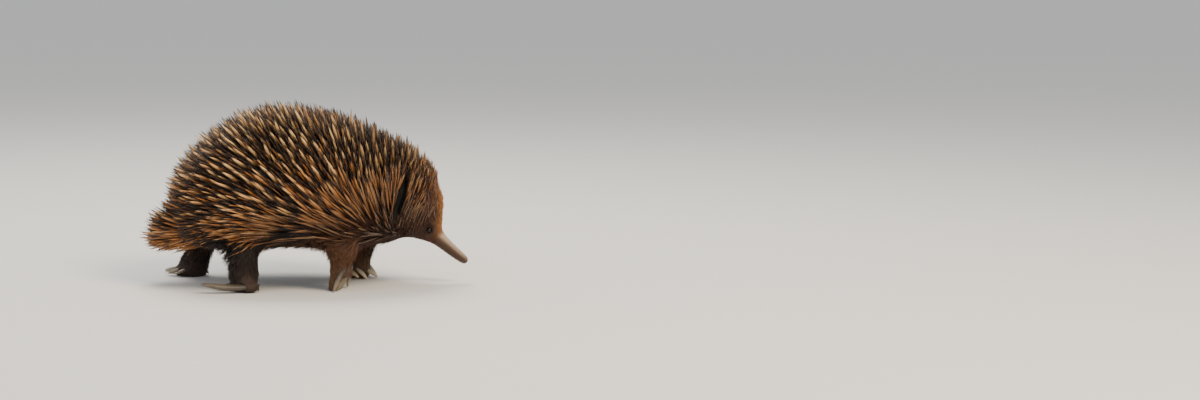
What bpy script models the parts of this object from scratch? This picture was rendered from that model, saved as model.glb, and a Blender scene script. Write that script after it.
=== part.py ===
"""Solids of a life-size walking short-beaked echidna, out to the tips of its coat.

Metres, +Z up, +X towards the bill and +Y to the animal's left. The origin is on the floor, under the
middle of the body. The body is made whole from lofts, then parted with thin cuts into named pieces.
"""

import math

import bmesh
import bpy
from mathutils import Matrix, Vector

MM = 0.001

# Driving dimensions
GAP = 0.4 * MM
SKIN_VOXEL = 2.2 * MM
SMOOTHING_ROUNDS = 10
BODY_TRIANGLES = 2950
RING_SIDES = 20
SQUARENESS = 2.25

BILL_PITCH = math.radians(-39)
BILL_BASE = Vector((157 * MM, 0, 56 * MM))

EYE_RADIUS = 4.3 * MM
EYE_PLACE = Vector((147.5 * MM, 19.0 * MM, 66.5 * MM))

EAR_PLACE = Vector((113 * MM, 73 * MM, 109 * MM))
EAR_SLIT = Vector((6.0 * MM, 13 * MM, 29 * MM))
EAR_TROUGH = Vector((4.0 * MM, 3.2 * MM, 22 * MM))
EAR_DEPTH = 12 * MM
EAR_LEAN = math.radians(15)

NEAR, FAR = -1, 1
SIDE_NAMES = {NEAR: "right", FAR: "left"}

# The trunk and head: along X, height, pitch of the section, then its reach up, down and to each side
BODY_SECTIONS = (
    ("rump tip", -170, 108, 0, 13, 16, 24),
    ("rump", -158, 106, 0, 41, 44, 58),
    ("haunches", -138, 102, 0, 68, 58, 86),
    ("hips", -106, 100, 0, 102, 59, 104),
    ("loins", -64, 100, 0, 120, 59, 114),
    ("back", -18, 100, 0, 125, 57, 117),
    ("ribs", 28, 101, 0, 117, 58, 112),
    ("shoulders", 68, 104, -2, 98, 62, 98),
    ("nape", 102, 106, -8, 79, 62, 78),
    ("crown", 128, 98, -18, 64.5, 47, 55),
    ("brow", 142, 85, -28, 48.5, 35, 35),
    ("eyes", 150, 72, -36, 31, 23, 22.5),
    ("bill root", 155, 61, -39, 15, 14, 14.5),
    ("bill base", 158.5, 55, -39, 9.4, 8.8, 9.4),
    ("bill middle", 174, 42.4, -39, 7.2, 7.0, 8.0),
    ("bill neck", 186, 32.7, -39, 5.9, 6.0, 7.2),
    ("bill end", 192, 27.8, -39, 5.8, 5.2, 7.3),
    ("bill tip", 196, 24.6, -39, 3.4, 3.0, 4.6),
)

# The fan of quills over the short tail, from the rump back
TAIL_SECTIONS = (
    ("tail root", -126, 78, 0, 36, 39, 40),
    ("tail middle", -156, 75, 0, 34, 38, 38),
    ("tail quills", -180, 71, 0, 29, 33, 31),
    ("tail tips", -195, 67, 0, 15, 18, 17),
)

# Each leg runs down: along X, out from the middle, height, pitch, reach forward, back and to each side
LEGS = {
    "hindleg_right": (NEAR, 19, (
        ("thigh", -72, 56, 92, -90, 40, 40, 36),
        ("knee", -75, 62, 62, -90, 25, 25, 25),
        ("shank", -73, 63, 36, -90, 19, 20, 19),
        ("heel", -71, 60, 14, -90, 17, 18, 17),
        ("sole", -71, 60, -6, -90, 15, 17, 15),
    )),
    "hindleg_left": (FAR, 17, (
        ("thigh", -100, 56, 88, -90, 38, 38, 36),
        ("knee", -122, 60, 56, -102, 25, 24, 24),
        ("shank", -130, 62, 34, -100, 18, 18, 18),
        ("heel", -136, 64, 14, -90, 19, 21, 16),
        ("sole", -138, 64, -6, -90, 18, 22, 14),
    )),
    "foreleg_right": (NEAR, 35, (
        ("shoulder", 44, 60, 86, -90, 34, 36, 34),
        ("elbow", 42, 65, 60, -90, 27, 26, 26),
        ("forearm", 43, 62, 40, -94, 18, 17, 21),
        ("wrist", 41, 57.5, 26, -102, 11, 11, 19),
        ("palm", 34, 54.5, 10, -104, 6, 5.5, 15),
        ("pad", 29, 55, -8, -104, 5, 4.5, 12),
    )),
    "foreleg_left": (FAR, 27, (
        ("shoulder", 58, 60, 84, -90, 42, 36, 34),
        ("elbow", 64, 60, 58, -84, 37, 28, 27),
        ("forearm", 67, 56, 38, -78, 27, 18, 22),
        ("wrist", 67, 53, 20, -78, 14, 14, 20),
        ("palm", 66, 51, 8, -90, 14, 14, 21),
        ("pad", 66, 51, -6, -90, 12, 12, 18),
    )),
}

# Claws, innermost first: root along X, out from the middle and height, heading, pitch, curl, length, width.
# A heading turns from forward out to the claw's own side of the body.
CLAWS = {
    "forefoot_right": (
        (53, 42, 15, 200, -78, 8, 14, 6.4),
        (53, 50, 23, 198, -65, 10, 26, 7.4),
        (51, 58.5, 24, 195, -65, 10, 27, 7.6),
        (48, 67, 24, 191, -66, 10, 27, 7.6),
        (43, 75, 23, 188, -67, 12, 26, 7.4),
    ),
    "forefoot_left": (
        (56, 31, 10, -46, -26, 8, 15, 6.0),
        (62, 35, 14, -12, -44, 8, 20, 7.6),
        (71, 43, 12, -6, -30, 8, 21, 7.6),
        (74, 52.5, 18, 2, -50, 12, 23, 7.8),
        (69, 62, 14, 22, -38, 10, 20, 7.0),
    ),
    "hindfoot_right": (
        (-60, 63, 9, 30, -50, -10, 11, 5.2),
        (-66, 79.5, 6.8, 173, 5, -24, 56, 10.6),
        (-81, 65, 8, 183, -8, -16, 26, 7.4),
        (-80, 55, 8.5, 192, -16, -16, 17, 6.4),
        (-75, 47, 8, 212, -18, -14, 11, 5.4),
    ),
    "hindfoot_left": (
        (-125, 72, 9, 36, -50, -10, 11, 5.0),
        (-150, 76, 8.5, 154, -10, -20, 27, 8.4),
        (-156, 66, 9, 176, -13, -18, 17, 7.6),
        (-155, 57.5, 8, 190, -15, -16, 14, 6.6),
        (-149, 51, 8, 210, -16, -14, 10, 5.4),
    ),
}
# A claw's width along its run, as shares of the whole
CLAW_TAPERS = {
    "forefoot": (0.92, 1.0, 0.95, 0.8, 0.46),
    "hindfoot": (0.92, 1.0, 1.0, 0.9, 0.56),
}
CLAW_SIDES = 8
CLAW_FLATNESS = 0.76
CLAW_BURIED = 6 * MM
# A toe's lobe as shares of its claw's width: along, across and through, and its most as a share of its length
TOE_SIZE = Vector((1.35, 0.82, 0.76))
TOE_REACH = 0.45

# Where the body is parted: a point along X and height, and the pitch of the cut's facing
NECK_CUT = (Vector((70 * MM, 0, 104 * MM)), math.radians(-4))
HEAD_CUT = (Vector((97 * MM, 0, 104 * MM)), math.radians(-10))
BILL_CUT = (BILL_BASE, BILL_PITCH)
TAIL_CUT = (Vector((-158 * MM, 0, 92 * MM)), math.radians(214))
# A leg's cell below the trunk: its middle, half its length and width, its top and the lean of its top
LEG_CELLS = {
    "hindleg_right": (-73, 78, 36, 58, 62, 16),
    "hindleg_left": (-124, 78, 40, 58, 60, 16),
    "foreleg_right": (42, 78, 32, 58, 62, 16),
    "foreleg_left": (66, 76, 34, 58, 60, 16),
}

COLOURS = {
    "coat": ((0.115, 0.062, 0.035), 0.75),
    "fur": ((0.085, 0.040, 0.020), 0.85),
    "face": ((0.230, 0.105, 0.042), 0.80),
    "bill": ((0.235, 0.165, 0.125), 0.55),
    "claw": ((0.290, 0.225, 0.170), 0.45),
    "eye": ((0.010, 0.007, 0.005), 0.12),
    "ear": ((0.030, 0.018, 0.014), 0.70),
}


def clear_scene():
    for obj in list(bpy.data.objects):
        bpy.data.objects.remove(obj)


def new_collection(name):
    made = bpy.data.collections.new(name)
    bpy.context.scene.collection.children.link(made)
    return made


def material(name):
    colour, roughness = COLOURS[name]
    made = bpy.data.materials.get(name)
    if made is None:
        made = bpy.data.materials.new(name)
        made.use_nodes = True
        shader = made.node_tree.nodes["Principled BSDF"]
        shader.inputs["Base Color"].default_value = (*colour, 1)
        shader.inputs["Roughness"].default_value = roughness
        shader.inputs["Metallic"].default_value = 0
    return made


def add_object(name, mesh, collection, finish=None, helper=False):
    """Puts a mesh in the scene, as a piece of the animal or as a hidden helper."""
    obj = bpy.data.objects.new(name, mesh)
    collection.objects.link(obj)
    if finish:
        mesh.materials.clear()
        mesh.materials.append(material(finish))
    if helper:
        obj.hide_render = True
        obj.display_type = "WIRE"
    return obj


def evaluated_mesh(obj):
    bpy.context.view_layer.update()
    graph = bpy.context.evaluated_depsgraph_get()
    return bpy.data.meshes.new_from_object(obj.evaluated_get(graph))


def rounded(angle):
    """A point on a unit superellipse, a little squarer than a circle."""
    c, s = math.cos(angle), math.sin(angle)
    power = 2 / SQUARENESS
    return math.copysign(abs(c) ** power, c), math.copysign(abs(s) ** power, s)


def loft(bm, rings):
    """Skins a row of rings with quads and closes both ends with a fan."""
    loops = [[bm.verts.new(point) for point in ring] for ring in rings]
    sides = len(loops[0])
    for first, second in zip(loops, loops[1:]):
        for i in range(sides):
            j = (i + 1) % sides
            bm.faces.new((first[i], first[j], second[j], second[i]))
    for loop in (loops[0], loops[-1]):
        middle = bm.verts.new(sum((v.co for v in loop), Vector()) / sides)
        for i in range(sides):
            bm.faces.new((loop[i], loop[(i + 1) % sides], middle))
    bmesh.ops.recalc_face_normals(bm, faces=bm.faces[:])


def section_ring(centre, pitch, up, down, side):
    """A rounded ring square to a heading in the XZ plane, with its own reach up and down."""
    up_way = Vector((-math.sin(pitch), 0, math.cos(pitch)))
    ring = []
    for i in range(RING_SIDES):
        across, along = rounded(math.tau * i / RING_SIDES)
        reach = up if along > 0 else down
        ring.append(centre + Vector((0, across * side, 0)) + up_way * (along * reach))
    return ring


def add_loft(name, rings, collection, levels=1):
    bm = bmesh.new()
    loft(bm, rings)
    mesh = bpy.data.meshes.new(name)
    bm.to_mesh(mesh)
    bm.free()
    obj = add_object(name, mesh, collection, helper=True)
    rounding = obj.modifiers.new("rounding", "SUBSURF")
    rounding.levels = rounding.render_levels = levels
    return obj


def body_loft(name, sections, collection):
    rings = [
        section_ring(Vector((x, 0, z)) * MM, math.radians(pitch), up * MM, down * MM, side * MM)
        for _, x, z, pitch, up, down, side in sections
    ]
    return add_loft(name, rings, collection)


def leg_loft(name, side, sections, collection):
    rings = [
        section_ring(
            Vector((x, side * out, z)) * MM, math.radians(pitch), front * MM, back * MM, width * MM
        )
        for _, x, out, z, pitch, front, back, width in sections
    ]
    return add_loft(name, rings, collection)


def toes(foot, side, collection):
    """A lobe of flesh round the root of each of a foot's claws."""
    made = []
    for number, (x, out, z, heading, pitch, _, length, width) in enumerate(CLAWS[foot], start=1):
        turn = Matrix.Rotation(side * math.radians(heading), 4, "Z")
        turn = turn @ Matrix.Rotation(-math.radians(pitch), 4, "Y")
        size = TOE_SIZE * (width * MM)
        size.x = min(size.x, TOE_REACH * length * MM)
        toe = ball(f"{foot}_toe_{number}", collection, Vector(), size, detail=10)
        toe.data.transform(Matrix.Translation(Vector((x, side * out, z)) * MM) @ turn)
        made.append(toe)
    return made


def whole_body(collection):
    """One closed, smooth mesh of the trunk, head, tail, legs and toes, without claws."""
    forms = [
        body_loft("trunk_form", BODY_SECTIONS, collection),
        body_loft("tail_form", TAIL_SECTIONS, collection),
    ]
    for name, (side, _, sections) in LEGS.items():
        forms.append(leg_loft(name + "_form", side, sections, collection))
        forms += toes(name.replace("leg", "foot"), side, collection)
    bm = bmesh.new()
    for obj in forms:
        bm.from_mesh(evaluated_mesh(obj))
    mesh = bpy.data.meshes.new("whole_form")
    bm.to_mesh(mesh)
    bm.free()
    whole = add_object("whole_form", mesh, collection, helper=True)
    joining = whole.modifiers.new("joining", "REMESH")
    joining.mode = "VOXEL"
    joining.voxel_size = SKIN_VOXEL
    smoothing = whole.modifiers.new("smoothing", "SMOOTH")
    smoothing.factor = 0.5
    smoothing.iterations = SMOOTHING_ROUNDS
    fine = evaluated_mesh(whole)
    fine.calc_loop_triangles()
    thinning = whole.modifiers.new("thinning", "DECIMATE")
    thinning.ratio = BODY_TRIANGLES / len(fine.loop_triangles)
    return add_object("whole_body", evaluated_mesh(whole), collection, helper=True)


def block(name, collection, low, high, place=Matrix.Identity(4)):
    """A box between two corners, then moved to its place."""
    bm = bmesh.new()
    bmesh.ops.create_cube(bm, size=1)
    low, high = Vector(low), Vector(high)
    size = high - low
    bmesh.ops.scale(bm, vec=size, verts=bm.verts[:])
    bmesh.ops.translate(bm, vec=(low + high) / 2, verts=bm.verts[:])
    bmesh.ops.transform(bm, matrix=place, verts=bm.verts[:])
    mesh = bpy.data.meshes.new(name)
    bm.to_mesh(mesh)
    bm.free()
    return add_object(name, mesh, collection, helper=True)


def half_space(name, collection, cut, ahead, gap=GAP / 2):
    """A big block whose face lies on a cut, ahead of it or behind it, set over the cut by the gap."""
    point, pitch = cut
    turn = Matrix.Translation(point) @ Matrix.Rotation(-pitch, 4, "Y")
    reach = 0.6
    low = (-gap, -reach, -reach) if ahead else (-reach, -reach, -reach)
    high = (reach, reach, reach) if ahead else (gap, reach, reach)
    return block(name, collection, low, high, turn)


def leg_cell(name, collection, grow):
    """The block under the trunk that holds a leg; its top leans up and outwards."""
    side = LEGS[name][0]
    x, out, length, width, top, lean = LEG_CELLS[name]
    turn = Matrix.Translation(Vector((x, side * out, top)) * MM)
    turn = turn @ Matrix.Rotation(side * math.radians(lean), 4, "X")
    low = (-length * MM - grow, -width * MM - grow, -0.1)
    high = (length * MM + grow, width * MM + grow, grow)
    return block(f"{name}_cell_{'wide' if grow else 'close'}", collection, low, high, turn)


def cut_mesh(name, source, cuts, collection):
    """A copy of source's mesh after a row of (operation, cutter) Booleans."""
    obj = add_object(name + "_work", source.data.copy(), collection, helper=True)
    for operation, cutter in cuts:
        step = obj.modifiers.new(operation.lower(), "BOOLEAN")
        step.operation = operation
        step.object = cutter
    mesh = evaluated_mesh(obj)
    bpy.data.objects.remove(obj)
    return keep_largest(mesh)


def keep_largest(mesh):
    """Leaves out crumbs that a cut may part from the piece."""
    bm = bmesh.new()
    bm.from_mesh(mesh)
    left = set(bm.verts)
    islands = []
    while left:
        front = [left.pop()]
        island = set(front)
        while front:
            for edge in front.pop().link_edges:
                for vert in edge.verts:
                    if vert in left:
                        left.discard(vert)
                        island.add(vert)
                        front.append(vert)
        islands.append(island)
    biggest = max(islands, key=len)
    bmesh.ops.delete(bm, geom=[v for v in bm.verts if v not in biggest], context="VERTS")
    bm.to_mesh(mesh)
    bm.free()
    return mesh


def ball(name, collection, centre, radii, lean=0.0, detail=16, finish=None, helper=True):
    bm = bmesh.new()
    bmesh.ops.create_uvsphere(bm, u_segments=detail, v_segments=detail // 2 + 2, radius=1)
    size = Matrix.Diagonal((*radii, 1))
    place = Matrix.Translation(centre) @ Matrix.Rotation(lean, 4, "Y") @ size
    bmesh.ops.transform(bm, matrix=place, verts=bm.verts[:])
    mesh = bpy.data.meshes.new(name)
    bm.to_mesh(mesh)
    bm.free()
    return add_object(name, mesh, collection, finish=finish, helper=helper)


def claw_rings(taper, side, x, out, z, heading, pitch, curl, length, width, grow):
    """Rings along a claw that runs from inside the foot and bends evenly over its length."""
    root = Vector((x, side * out, z)) * MM
    turn = math.radians(heading) * side
    flat_way = Vector((math.cos(turn), math.sin(turn), 0))
    across = Vector((-math.sin(turn), math.cos(turn), 0))
    steps = len(taper) - 1
    buried = -CLAW_BURIED
    rings = []
    for i, share in enumerate(taper):
        run = i / steps
        tilt = math.radians(pitch - curl * (run - 0.5))
        reach = buried + (length * MM - buried) * run
        bend = math.radians(pitch - curl * (run / 2 - 0.5))
        way = flat_way * math.cos(bend) + Vector((0, 0, math.sin(bend)))
        up_way = flat_way * -math.sin(tilt) + Vector((0, 0, math.cos(tilt)))
        end = grow if i in (0, steps) else 0
        centre = root + way * (reach + (end if i else -end))
        half = width / 2 * MM * share + grow
        rings.append([
            centre
            + across * (math.cos(angle) * half)
            + up_way * (math.sin(angle) * half * CLAW_FLATNESS)
            for angle in (math.tau * k / CLAW_SIDES for k in range(CLAW_SIDES))
        ])
    return rings


def add_claw(name, side, facts, collection, grow=0.0, finish=None):
    bm = bmesh.new()
    taper = CLAW_TAPERS[name.split("_")[0]]
    loft(bm, claw_rings(taper, side, *facts, grow))
    mesh = bpy.data.meshes.new(name)
    bm.to_mesh(mesh)
    bm.free()
    return add_object(name, mesh, collection, finish=finish, helper=finish is None)


def mirrored(vector, side):
    return Vector((vector.x, side * vector.y, vector.z))


def build_senses(pieces, cutters):
    """The eyes in their sockets and the ears at the bottom of their slits, and what the head is cut with."""
    cuts = []
    for side, word in SIDE_NAMES.items():
        eye = mirrored(EYE_PLACE, side)
        socket = EYE_RADIUS + GAP
        ball("eye_" + word, pieces, eye, [EYE_RADIUS] * 3, detail=10, finish="eye", helper=False)
        cuts.append(ball("socket_" + word, cutters, eye, [socket] * 3, detail=10))
        slit = mirrored(EAR_PLACE, side)
        cuts.append(ball("slit_" + word, cutters, slit, EAR_SLIT, EAR_LEAN, detail=14))
        trough = slit - Vector((0, side * EAR_DEPTH, 0))
        ball("ear_" + word, pieces, trough, EAR_TROUGH, EAR_LEAN, 10, "ear", helper=False)
        grown = EAR_TROUGH + Vector((GAP, GAP, GAP))
        cuts.append(ball("trough_" + word, cutters, trough, grown, EAR_LEAN, detail=10))
    return cuts


def build_axis(whole, pieces, cutters, senses):
    """Bill, head, neck, trunk and tail, parted by cuts square to the middle plane."""
    cells = [leg_cell(name, cutters, GAP) for name in LEGS]
    off = "DIFFERENCE"
    ahead = {}
    behind = {}
    for word, cut in (("bill", BILL_CUT), ("head", HEAD_CUT), ("neck", NECK_CUT), ("tail", TAIL_CUT)):
        ahead[word] = half_space(f"ahead_of_{word}", cutters, cut, True)
        behind[word] = half_space(f"behind_{word}", cutters, cut, False)
    no_legs = [(off, cell) for cell in cells]
    recipes = {
        "bill": ("bill", [(off, behind["bill"])]),
        "head": ("face", [(off, ahead["bill"]), (off, behind["head"])] + no_legs + [(off, c) for c in senses]),
        "neck": ("coat", [(off, ahead["head"]), (off, behind["neck"])] + no_legs),
        "trunk": ("coat", [(off, ahead["neck"]), (off, ahead["tail"])] + no_legs),
        "tail": ("coat", [(off, behind["tail"])] + no_legs),
    }
    for name, (finish, cuts) in recipes.items():
        add_object(name, cut_mesh(name, whole, cuts, cutters), pieces, finish)


def build_limbs(whole, pieces, cutters):
    """Each leg in two pieces, with the foot's claws let into it."""
    floor = block("floor", cutters, (-0.5, -0.5, -0.1), (0.5, 0.5, 0))
    for leg, (side, ankle, _) in LEGS.items():
        foot = leg.replace("leg", "foot")
        cell = leg_cell(leg, cutters, 0.0)
        sockets = []
        for number, facts in enumerate(CLAWS[foot], start=1):
            claw = add_claw(f"{foot}_claw_{number}_form", side, facts, cutters)
            mesh = cut_mesh(f"{foot}_claw_{number}", claw, [("DIFFERENCE", floor)], cutters)
            add_object(f"{foot}_claw_{number}", mesh, pieces, "claw")
            sockets.append(add_claw(f"{foot}_socket_{number}", side, facts, cutters, grow=GAP))
        level = (Vector((0, 0, ankle * MM)), math.radians(90))
        above = half_space(f"above_{foot}", cutters, level, True)
        below = half_space(f"below_{foot}", cutters, level, False)
        in_cell = ("INTERSECT", cell)
        leg_mesh = cut_mesh(leg, whole, [in_cell, ("DIFFERENCE", below)], cutters)
        bored = [("DIFFERENCE", socket) for socket in sockets]
        foot_cuts = [in_cell, ("DIFFERENCE", above), ("DIFFERENCE", floor)] + bored
        foot_mesh = cut_mesh(foot, whole, foot_cuts, cutters)
        add_object(leg, leg_mesh, pieces, "fur")
        add_object(foot, foot_mesh, pieces, "fur")


def main():
    clear_scene()
    pieces = new_collection("echidna")
    cutters = new_collection("cutters")
    whole = whole_body(cutters)
    senses = build_senses(pieces, cutters)
    build_axis(whole, pieces, cutters, senses)
    build_limbs(whole, pieces, cutters)


main()
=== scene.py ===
"""Looks of a life-size short-beaked echidna in mid-stride: skin, quills, fur, eyes, claws and a plain stage.

Laid out as an add-on and run as a script. Lengths in the tables are millimetres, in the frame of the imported
model: +X to the bill, +Y to the animal's left, +Z up.
"""

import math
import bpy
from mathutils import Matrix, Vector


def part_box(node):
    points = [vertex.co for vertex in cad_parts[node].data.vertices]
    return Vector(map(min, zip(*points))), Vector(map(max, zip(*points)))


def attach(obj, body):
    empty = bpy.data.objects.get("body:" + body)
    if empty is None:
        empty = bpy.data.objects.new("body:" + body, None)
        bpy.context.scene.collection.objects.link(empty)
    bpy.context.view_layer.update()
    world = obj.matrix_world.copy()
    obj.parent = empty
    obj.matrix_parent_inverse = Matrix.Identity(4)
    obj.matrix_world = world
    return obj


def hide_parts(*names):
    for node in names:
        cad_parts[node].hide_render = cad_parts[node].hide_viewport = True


bl_info = {
    "name": "Echidna",
    "version": (1, 0, 0),
    "blender": (4, 5, 0),
    "location": "3D View > Sidebar > Echidna",
    "description": "Builds a life-size walking echidna over its packed solids",
    "category": "Object",
}

from contextlib import contextmanager

import bpy
import numpy as np
from bpy.props import FloatProperty, FloatVectorProperty, IntProperty, PointerProperty
from mathutils import Matrix, Vector
from mathutils.bvhtree import BVHTree

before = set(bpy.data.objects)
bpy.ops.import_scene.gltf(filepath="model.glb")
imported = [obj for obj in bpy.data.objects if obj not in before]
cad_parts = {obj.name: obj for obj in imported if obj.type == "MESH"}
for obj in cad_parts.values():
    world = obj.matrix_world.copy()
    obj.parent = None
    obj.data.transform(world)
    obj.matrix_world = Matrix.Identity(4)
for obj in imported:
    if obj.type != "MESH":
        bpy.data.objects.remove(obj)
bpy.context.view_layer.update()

MM = 0.001
SIDES = {"right": -1, "left": 1}
LEGS = ("foreleg", "hindleg")
FEET = ("forefoot", "hindfoot")
CLAWS_PER_FOOT = 5
FLESH = ["bill", "head", "neck", "trunk", "tail"] + [
    f"{part}_{side}" for part in ("ear",) + LEGS + FEET for side in SIDES
]
OUTLINE_MESH = "coat_outline"
PIECE_TRIANGLES = 185000  # the most in one piece of quills or fur
BAKE_PATCH = 0.003  # side of a tuft's patch on the bake map
WELD = 0.01 * MM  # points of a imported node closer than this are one

# The coat's map. Each place is along X, out from the middle and up, on the outline of the coat, and stands
# for both sides. Then come the coat's depth there, the heading of its tips seen from the side (0 forward,
# 90 up, 180 back), how far the tips lift off the skin, the share of quills, and the fur's length and colour.
COAT_MAP = (
    ("bill tip", 196, 4, 24, 0, 140, 5, 0.0, 0, "bill"),
    ("bill middle", 180, 7, 38, 0, 140, 5, 0.0, 0, "bill"),
    # The fur of the bill's top, the bridge and the forehead is brown, paled to gold as painted sunlight.
    ("bill top", 167, 4, 53, 0, 120, 8, 0.0, 1.5, "sunlit_golden"),
    ("bill base", 157, 9, 51, 0.3, 130, 10, 0.0, 2.5, "rufous"),
    ("chin", 150, 6, 46, 1.5, 165, 10, 0.0, 5, "rufous"),
    ("eye", 148, 22, 67, 0.5, 118, 12, 0.0, 2.5, "lid"),
    ("under eye", 147, 20, 56, 1.0, 132, 12, 0.0, 5, "rufous"),
    ("bridge", 160, 4, 72, 0.8, 100, 14, 0.0, 5, "sunlit_golden"),
    ("forehead", 166, 8, 92, 2.0, 94, 24, 0.0, 9, "sunlit_golden"),
    ("brow side", 150, 28, 88, 4, 70, 26, 0.45, 9, "rufous"),
    ("crown front", 158, 0, 120, 10, 84, 40, 0.6, 13, "brown"),
    ("crown", 134, 0, 160, 22, 90, 40, 1.0, 18, "dark"),
    ("crown side", 132, 45, 128, 15, 72, 36, 1.0, 15, "brown"),
    ("cheek", 134, 42, 88, 7, 58, 24, 1.0, 11, "rufous"),
    ("cheek front", 142, 32, 76, 4, 64, 20, 0.8, 8, "rufous"),
    ("cheek low", 134, 36, 62, 3.5, 96, 18, 0.2, 10, "rufous"),
    ("before ear", 124, 60, 96, 9, 66, 26, 1.0, 12, "rufous"),
    ("ear", 113, 73, 106, 12, 96, 20, 0.6, 10, "black"),
    ("behind ear", 100, 84, 104, 20, 102, 34, 1.0, 18, "dark"),
    ("below ear", 108, 70, 72, 9, 106, 26, 0.9, 14, "dark"),
    ("nape", 90, 0, 186, 27, 97, 40, 1.0, 20, "dark"),
    ("nape side", 92, 66, 150, 25, 98, 44, 1.0, 20, "dark"),
    ("shoulder top", 45, 0, 212, 29, 104, 40, 1.0, 22, "dark"),
    ("back", -20, 0, 224, 30, 114, 40, 1.0, 22, "dark"),
    ("loins", -80, 0, 214, 30, 122, 40, 1.0, 22, "dark"),
    ("rump top", -132, 0, 178, 30, 138, 38, 1.0, 22, "dark"),
    ("rump", -166, 0, 120, 30, 150, 32, 1.0, 22, "dark"),
    ("tail top", -176, 0, 102, 26, 130, 24, 1.0, 20, "brown"),
    ("tail end", -194, 0, 68, 32, 163, 18, 1.0, 20, "brown"),
    ("tail side", -172, 32, 74, 20, 150, 20, 1.0, 20, "brown"),
    ("tail side low", -164, 26, 50, 12, 180, 18, 1.0, 24, "brown"),
    ("tail under", -165, 0, 40, 9, 190, 16, 1.0, 24, "brown"),
    ("shoulder", 68, 92, 135, 25, 104, 44, 1.0, 22, "dark"),
    ("flank high", -20, 92, 175, 27, 119, 46, 1.0, 22, "dark"),
    ("flank", -20, 117, 110, 24, 131, 38, 1.0, 24, "dark"),
    ("flank front", 30, 112, 95, 21, 124, 36, 1.0, 24, "brown"),
    ("flank rear", -95, 104, 130, 25, 146, 38, 1.0, 24, "dark"),
    ("haunch", -140, 82, 100, 25, 160, 32, 1.0, 24, "dark"),
    ("flank low rear", -90, 96, 66, 17, 173, 24, 1.0, 26, "dark"),
    ("flank low", -20, 108, 76, 17, 160, 24, 1.0, 26, "dark"),
    ("shoulder low", 50, 94, 70, 13, 142, 22, 0.45, 22, "rufous"),
    ("neck low", 92, 76, 66, 9, 132, 22, 0.3, 18, "rufous"),
    ("throat", 118, 18, 47, 4, 176, 14, 0.0, 14, "rufous"),
    ("chest", 88, 20, 45, 6, 184, 16, 0.0, 20, "rufous"),
    ("belly edge", -8, 94, 58, 10, 170, 24, 0.0, 28, "black"),
    ("belly edge rear", -100, 78, 48, 9, 192, 26, 0.05, 30, "black"),
    ("haunch low", -136, 56, 50, 10, 190, 24, 0.6, 28, "brown"),
    ("belly", -20, 0, 43, 7, 182, 16, 0.0, 24, "black"),
    ("right forearm", 42, 66, 42, 3.0, 264, 14, 0.0, 14, "foreleg"),
    ("left forearm", 66, 60, 40, 3.0, 264, 14, 0.0, 14, "foreleg"),
    ("right forefoot", 38, 58, 16, 0.9, 254, 10, 0.0, 6, "paw"),
    ("chest side", 92, 56, 38, 5, 238, 20, 0.0, 20, "rufous"),
    ("left forefoot", 70, 52, 10, 0.9, 300, 10, 0.0, 6, "paw"),
    ("right shank", -73, 64, 38, 3.0, 262, 12, 0.0, 13, "shank"),
    ("left shank", -128, 62, 36, 3.0, 250, 12, 0.0, 13, "shank"),
    ("right hindfoot", -72, 62, 10, 0.9, 240, 9, 0.0, 6, "sole"),
    ("left hindfoot", -140, 64, 10, 0.9, 220, 9, 0.0, 6, "sole"),
)
MAP_SOFTNESS = 9 * MM
MAP_SHARPNESS = 2.2


def linear(code):
    """A colour in sRGB hex as linear red, green and blue."""
    shares = [int(code[i:i + 2], 16) / 255 for i in (1, 3, 5)]
    return tuple(s / 12.92 if s <= 0.04045 else ((s + 0.055) / 1.055) ** 2.4 for s in shares)


def colour_property(name, code, description):
    return FloatVectorProperty(
        name=name, description=description, subtype="COLOR", size=3, min=0, max=1, default=linear(code)
    )


def length_property(name, millimetres, description):
    return FloatProperty(
        name=name, description=description, unit="LENGTH", default=millimetres * MM, min=0, precision=4
    )


def power_property(name, watts, description):
    return FloatProperty(name=name, description=description, unit="POWER", default=watts)


class EchidnaColours(bpy.types.PropertyGroup):
    """Colours of the coat and the bare parts."""

    dark: colour_property("Dark fur", "#1b120c", "Fur between the quills of the back")
    black: colour_property("Blackish fur", "#120b07", "Fur of the belly and round the ears")
    brown: colour_property("Brown fur", "#38210f", "Fur low on the flanks and on the tail")
    rufous: colour_property("Rufous fur", "#3d1c09", "Fur of the cheeks, throat and chest")
    # Partly painted sunlight: brown fur paled to gold where the sun falls on the forehead.
    sunlit_golden: colour_property("Golden fur", "#98642f", "Fur of the forehead and before the ears")
    shank: colour_property("Hind leg fur", "#27160b", "Fur of the hind legs")
    foreleg: colour_property("Foreleg fur", "#5f3a1b", "Fur of the forelegs")
    lid: colour_property("Eyelid", "#2c180d", "Folded skin round the eye")
    paw: colour_property("Forefoot", "#775436", "Skin and short fur of the forefeet")
    sole: colour_property("Hindfoot", "#3d2d25", "Skin and short fur of the hind feet")
    # The bill's two colours carry painted light: its sides are darkened with painted shade, and its top is
    # paled with a painted highlight of the sun.
    bill: colour_property("Bill", "#402918", "Bare skin of the bill's sides")
    bill_top_highlight: colour_property("Bill's top", "#a8927a", "Bare skin on top of the bill")
    quill_pale: colour_property("Pale quill", "#f1c68a", "Body of a pale quill")
    quill_tan: colour_property("Tan quill", "#c4782c", "Body of a tan quill")
    # Painted sheen: tan quills turn this grey-brown high on the back, standing for the sky's sheen on them.
    quill_top_sheen: colour_property("Sky sheen on tan quill", "#86694a", "Body of a tan quill high on the back")
    quill_dark: colour_property("Dark quill", "#2e2620", "Body of a dark quill")
    quill_tip: colour_property("Quill tip", "#1e140e", "Tip of a quill")
    claw: colour_property("Claw", "#3b332d", "Horn of the claws")
    claw_tip: colour_property("Claw tip", "#cdb896", "Worn tips of the claws")
    eye: colour_property("Eye", "#140b07", "Iris of the eye")
    floor: colour_property("Floor", "#e4e1db", "Painted studio floor")


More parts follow.
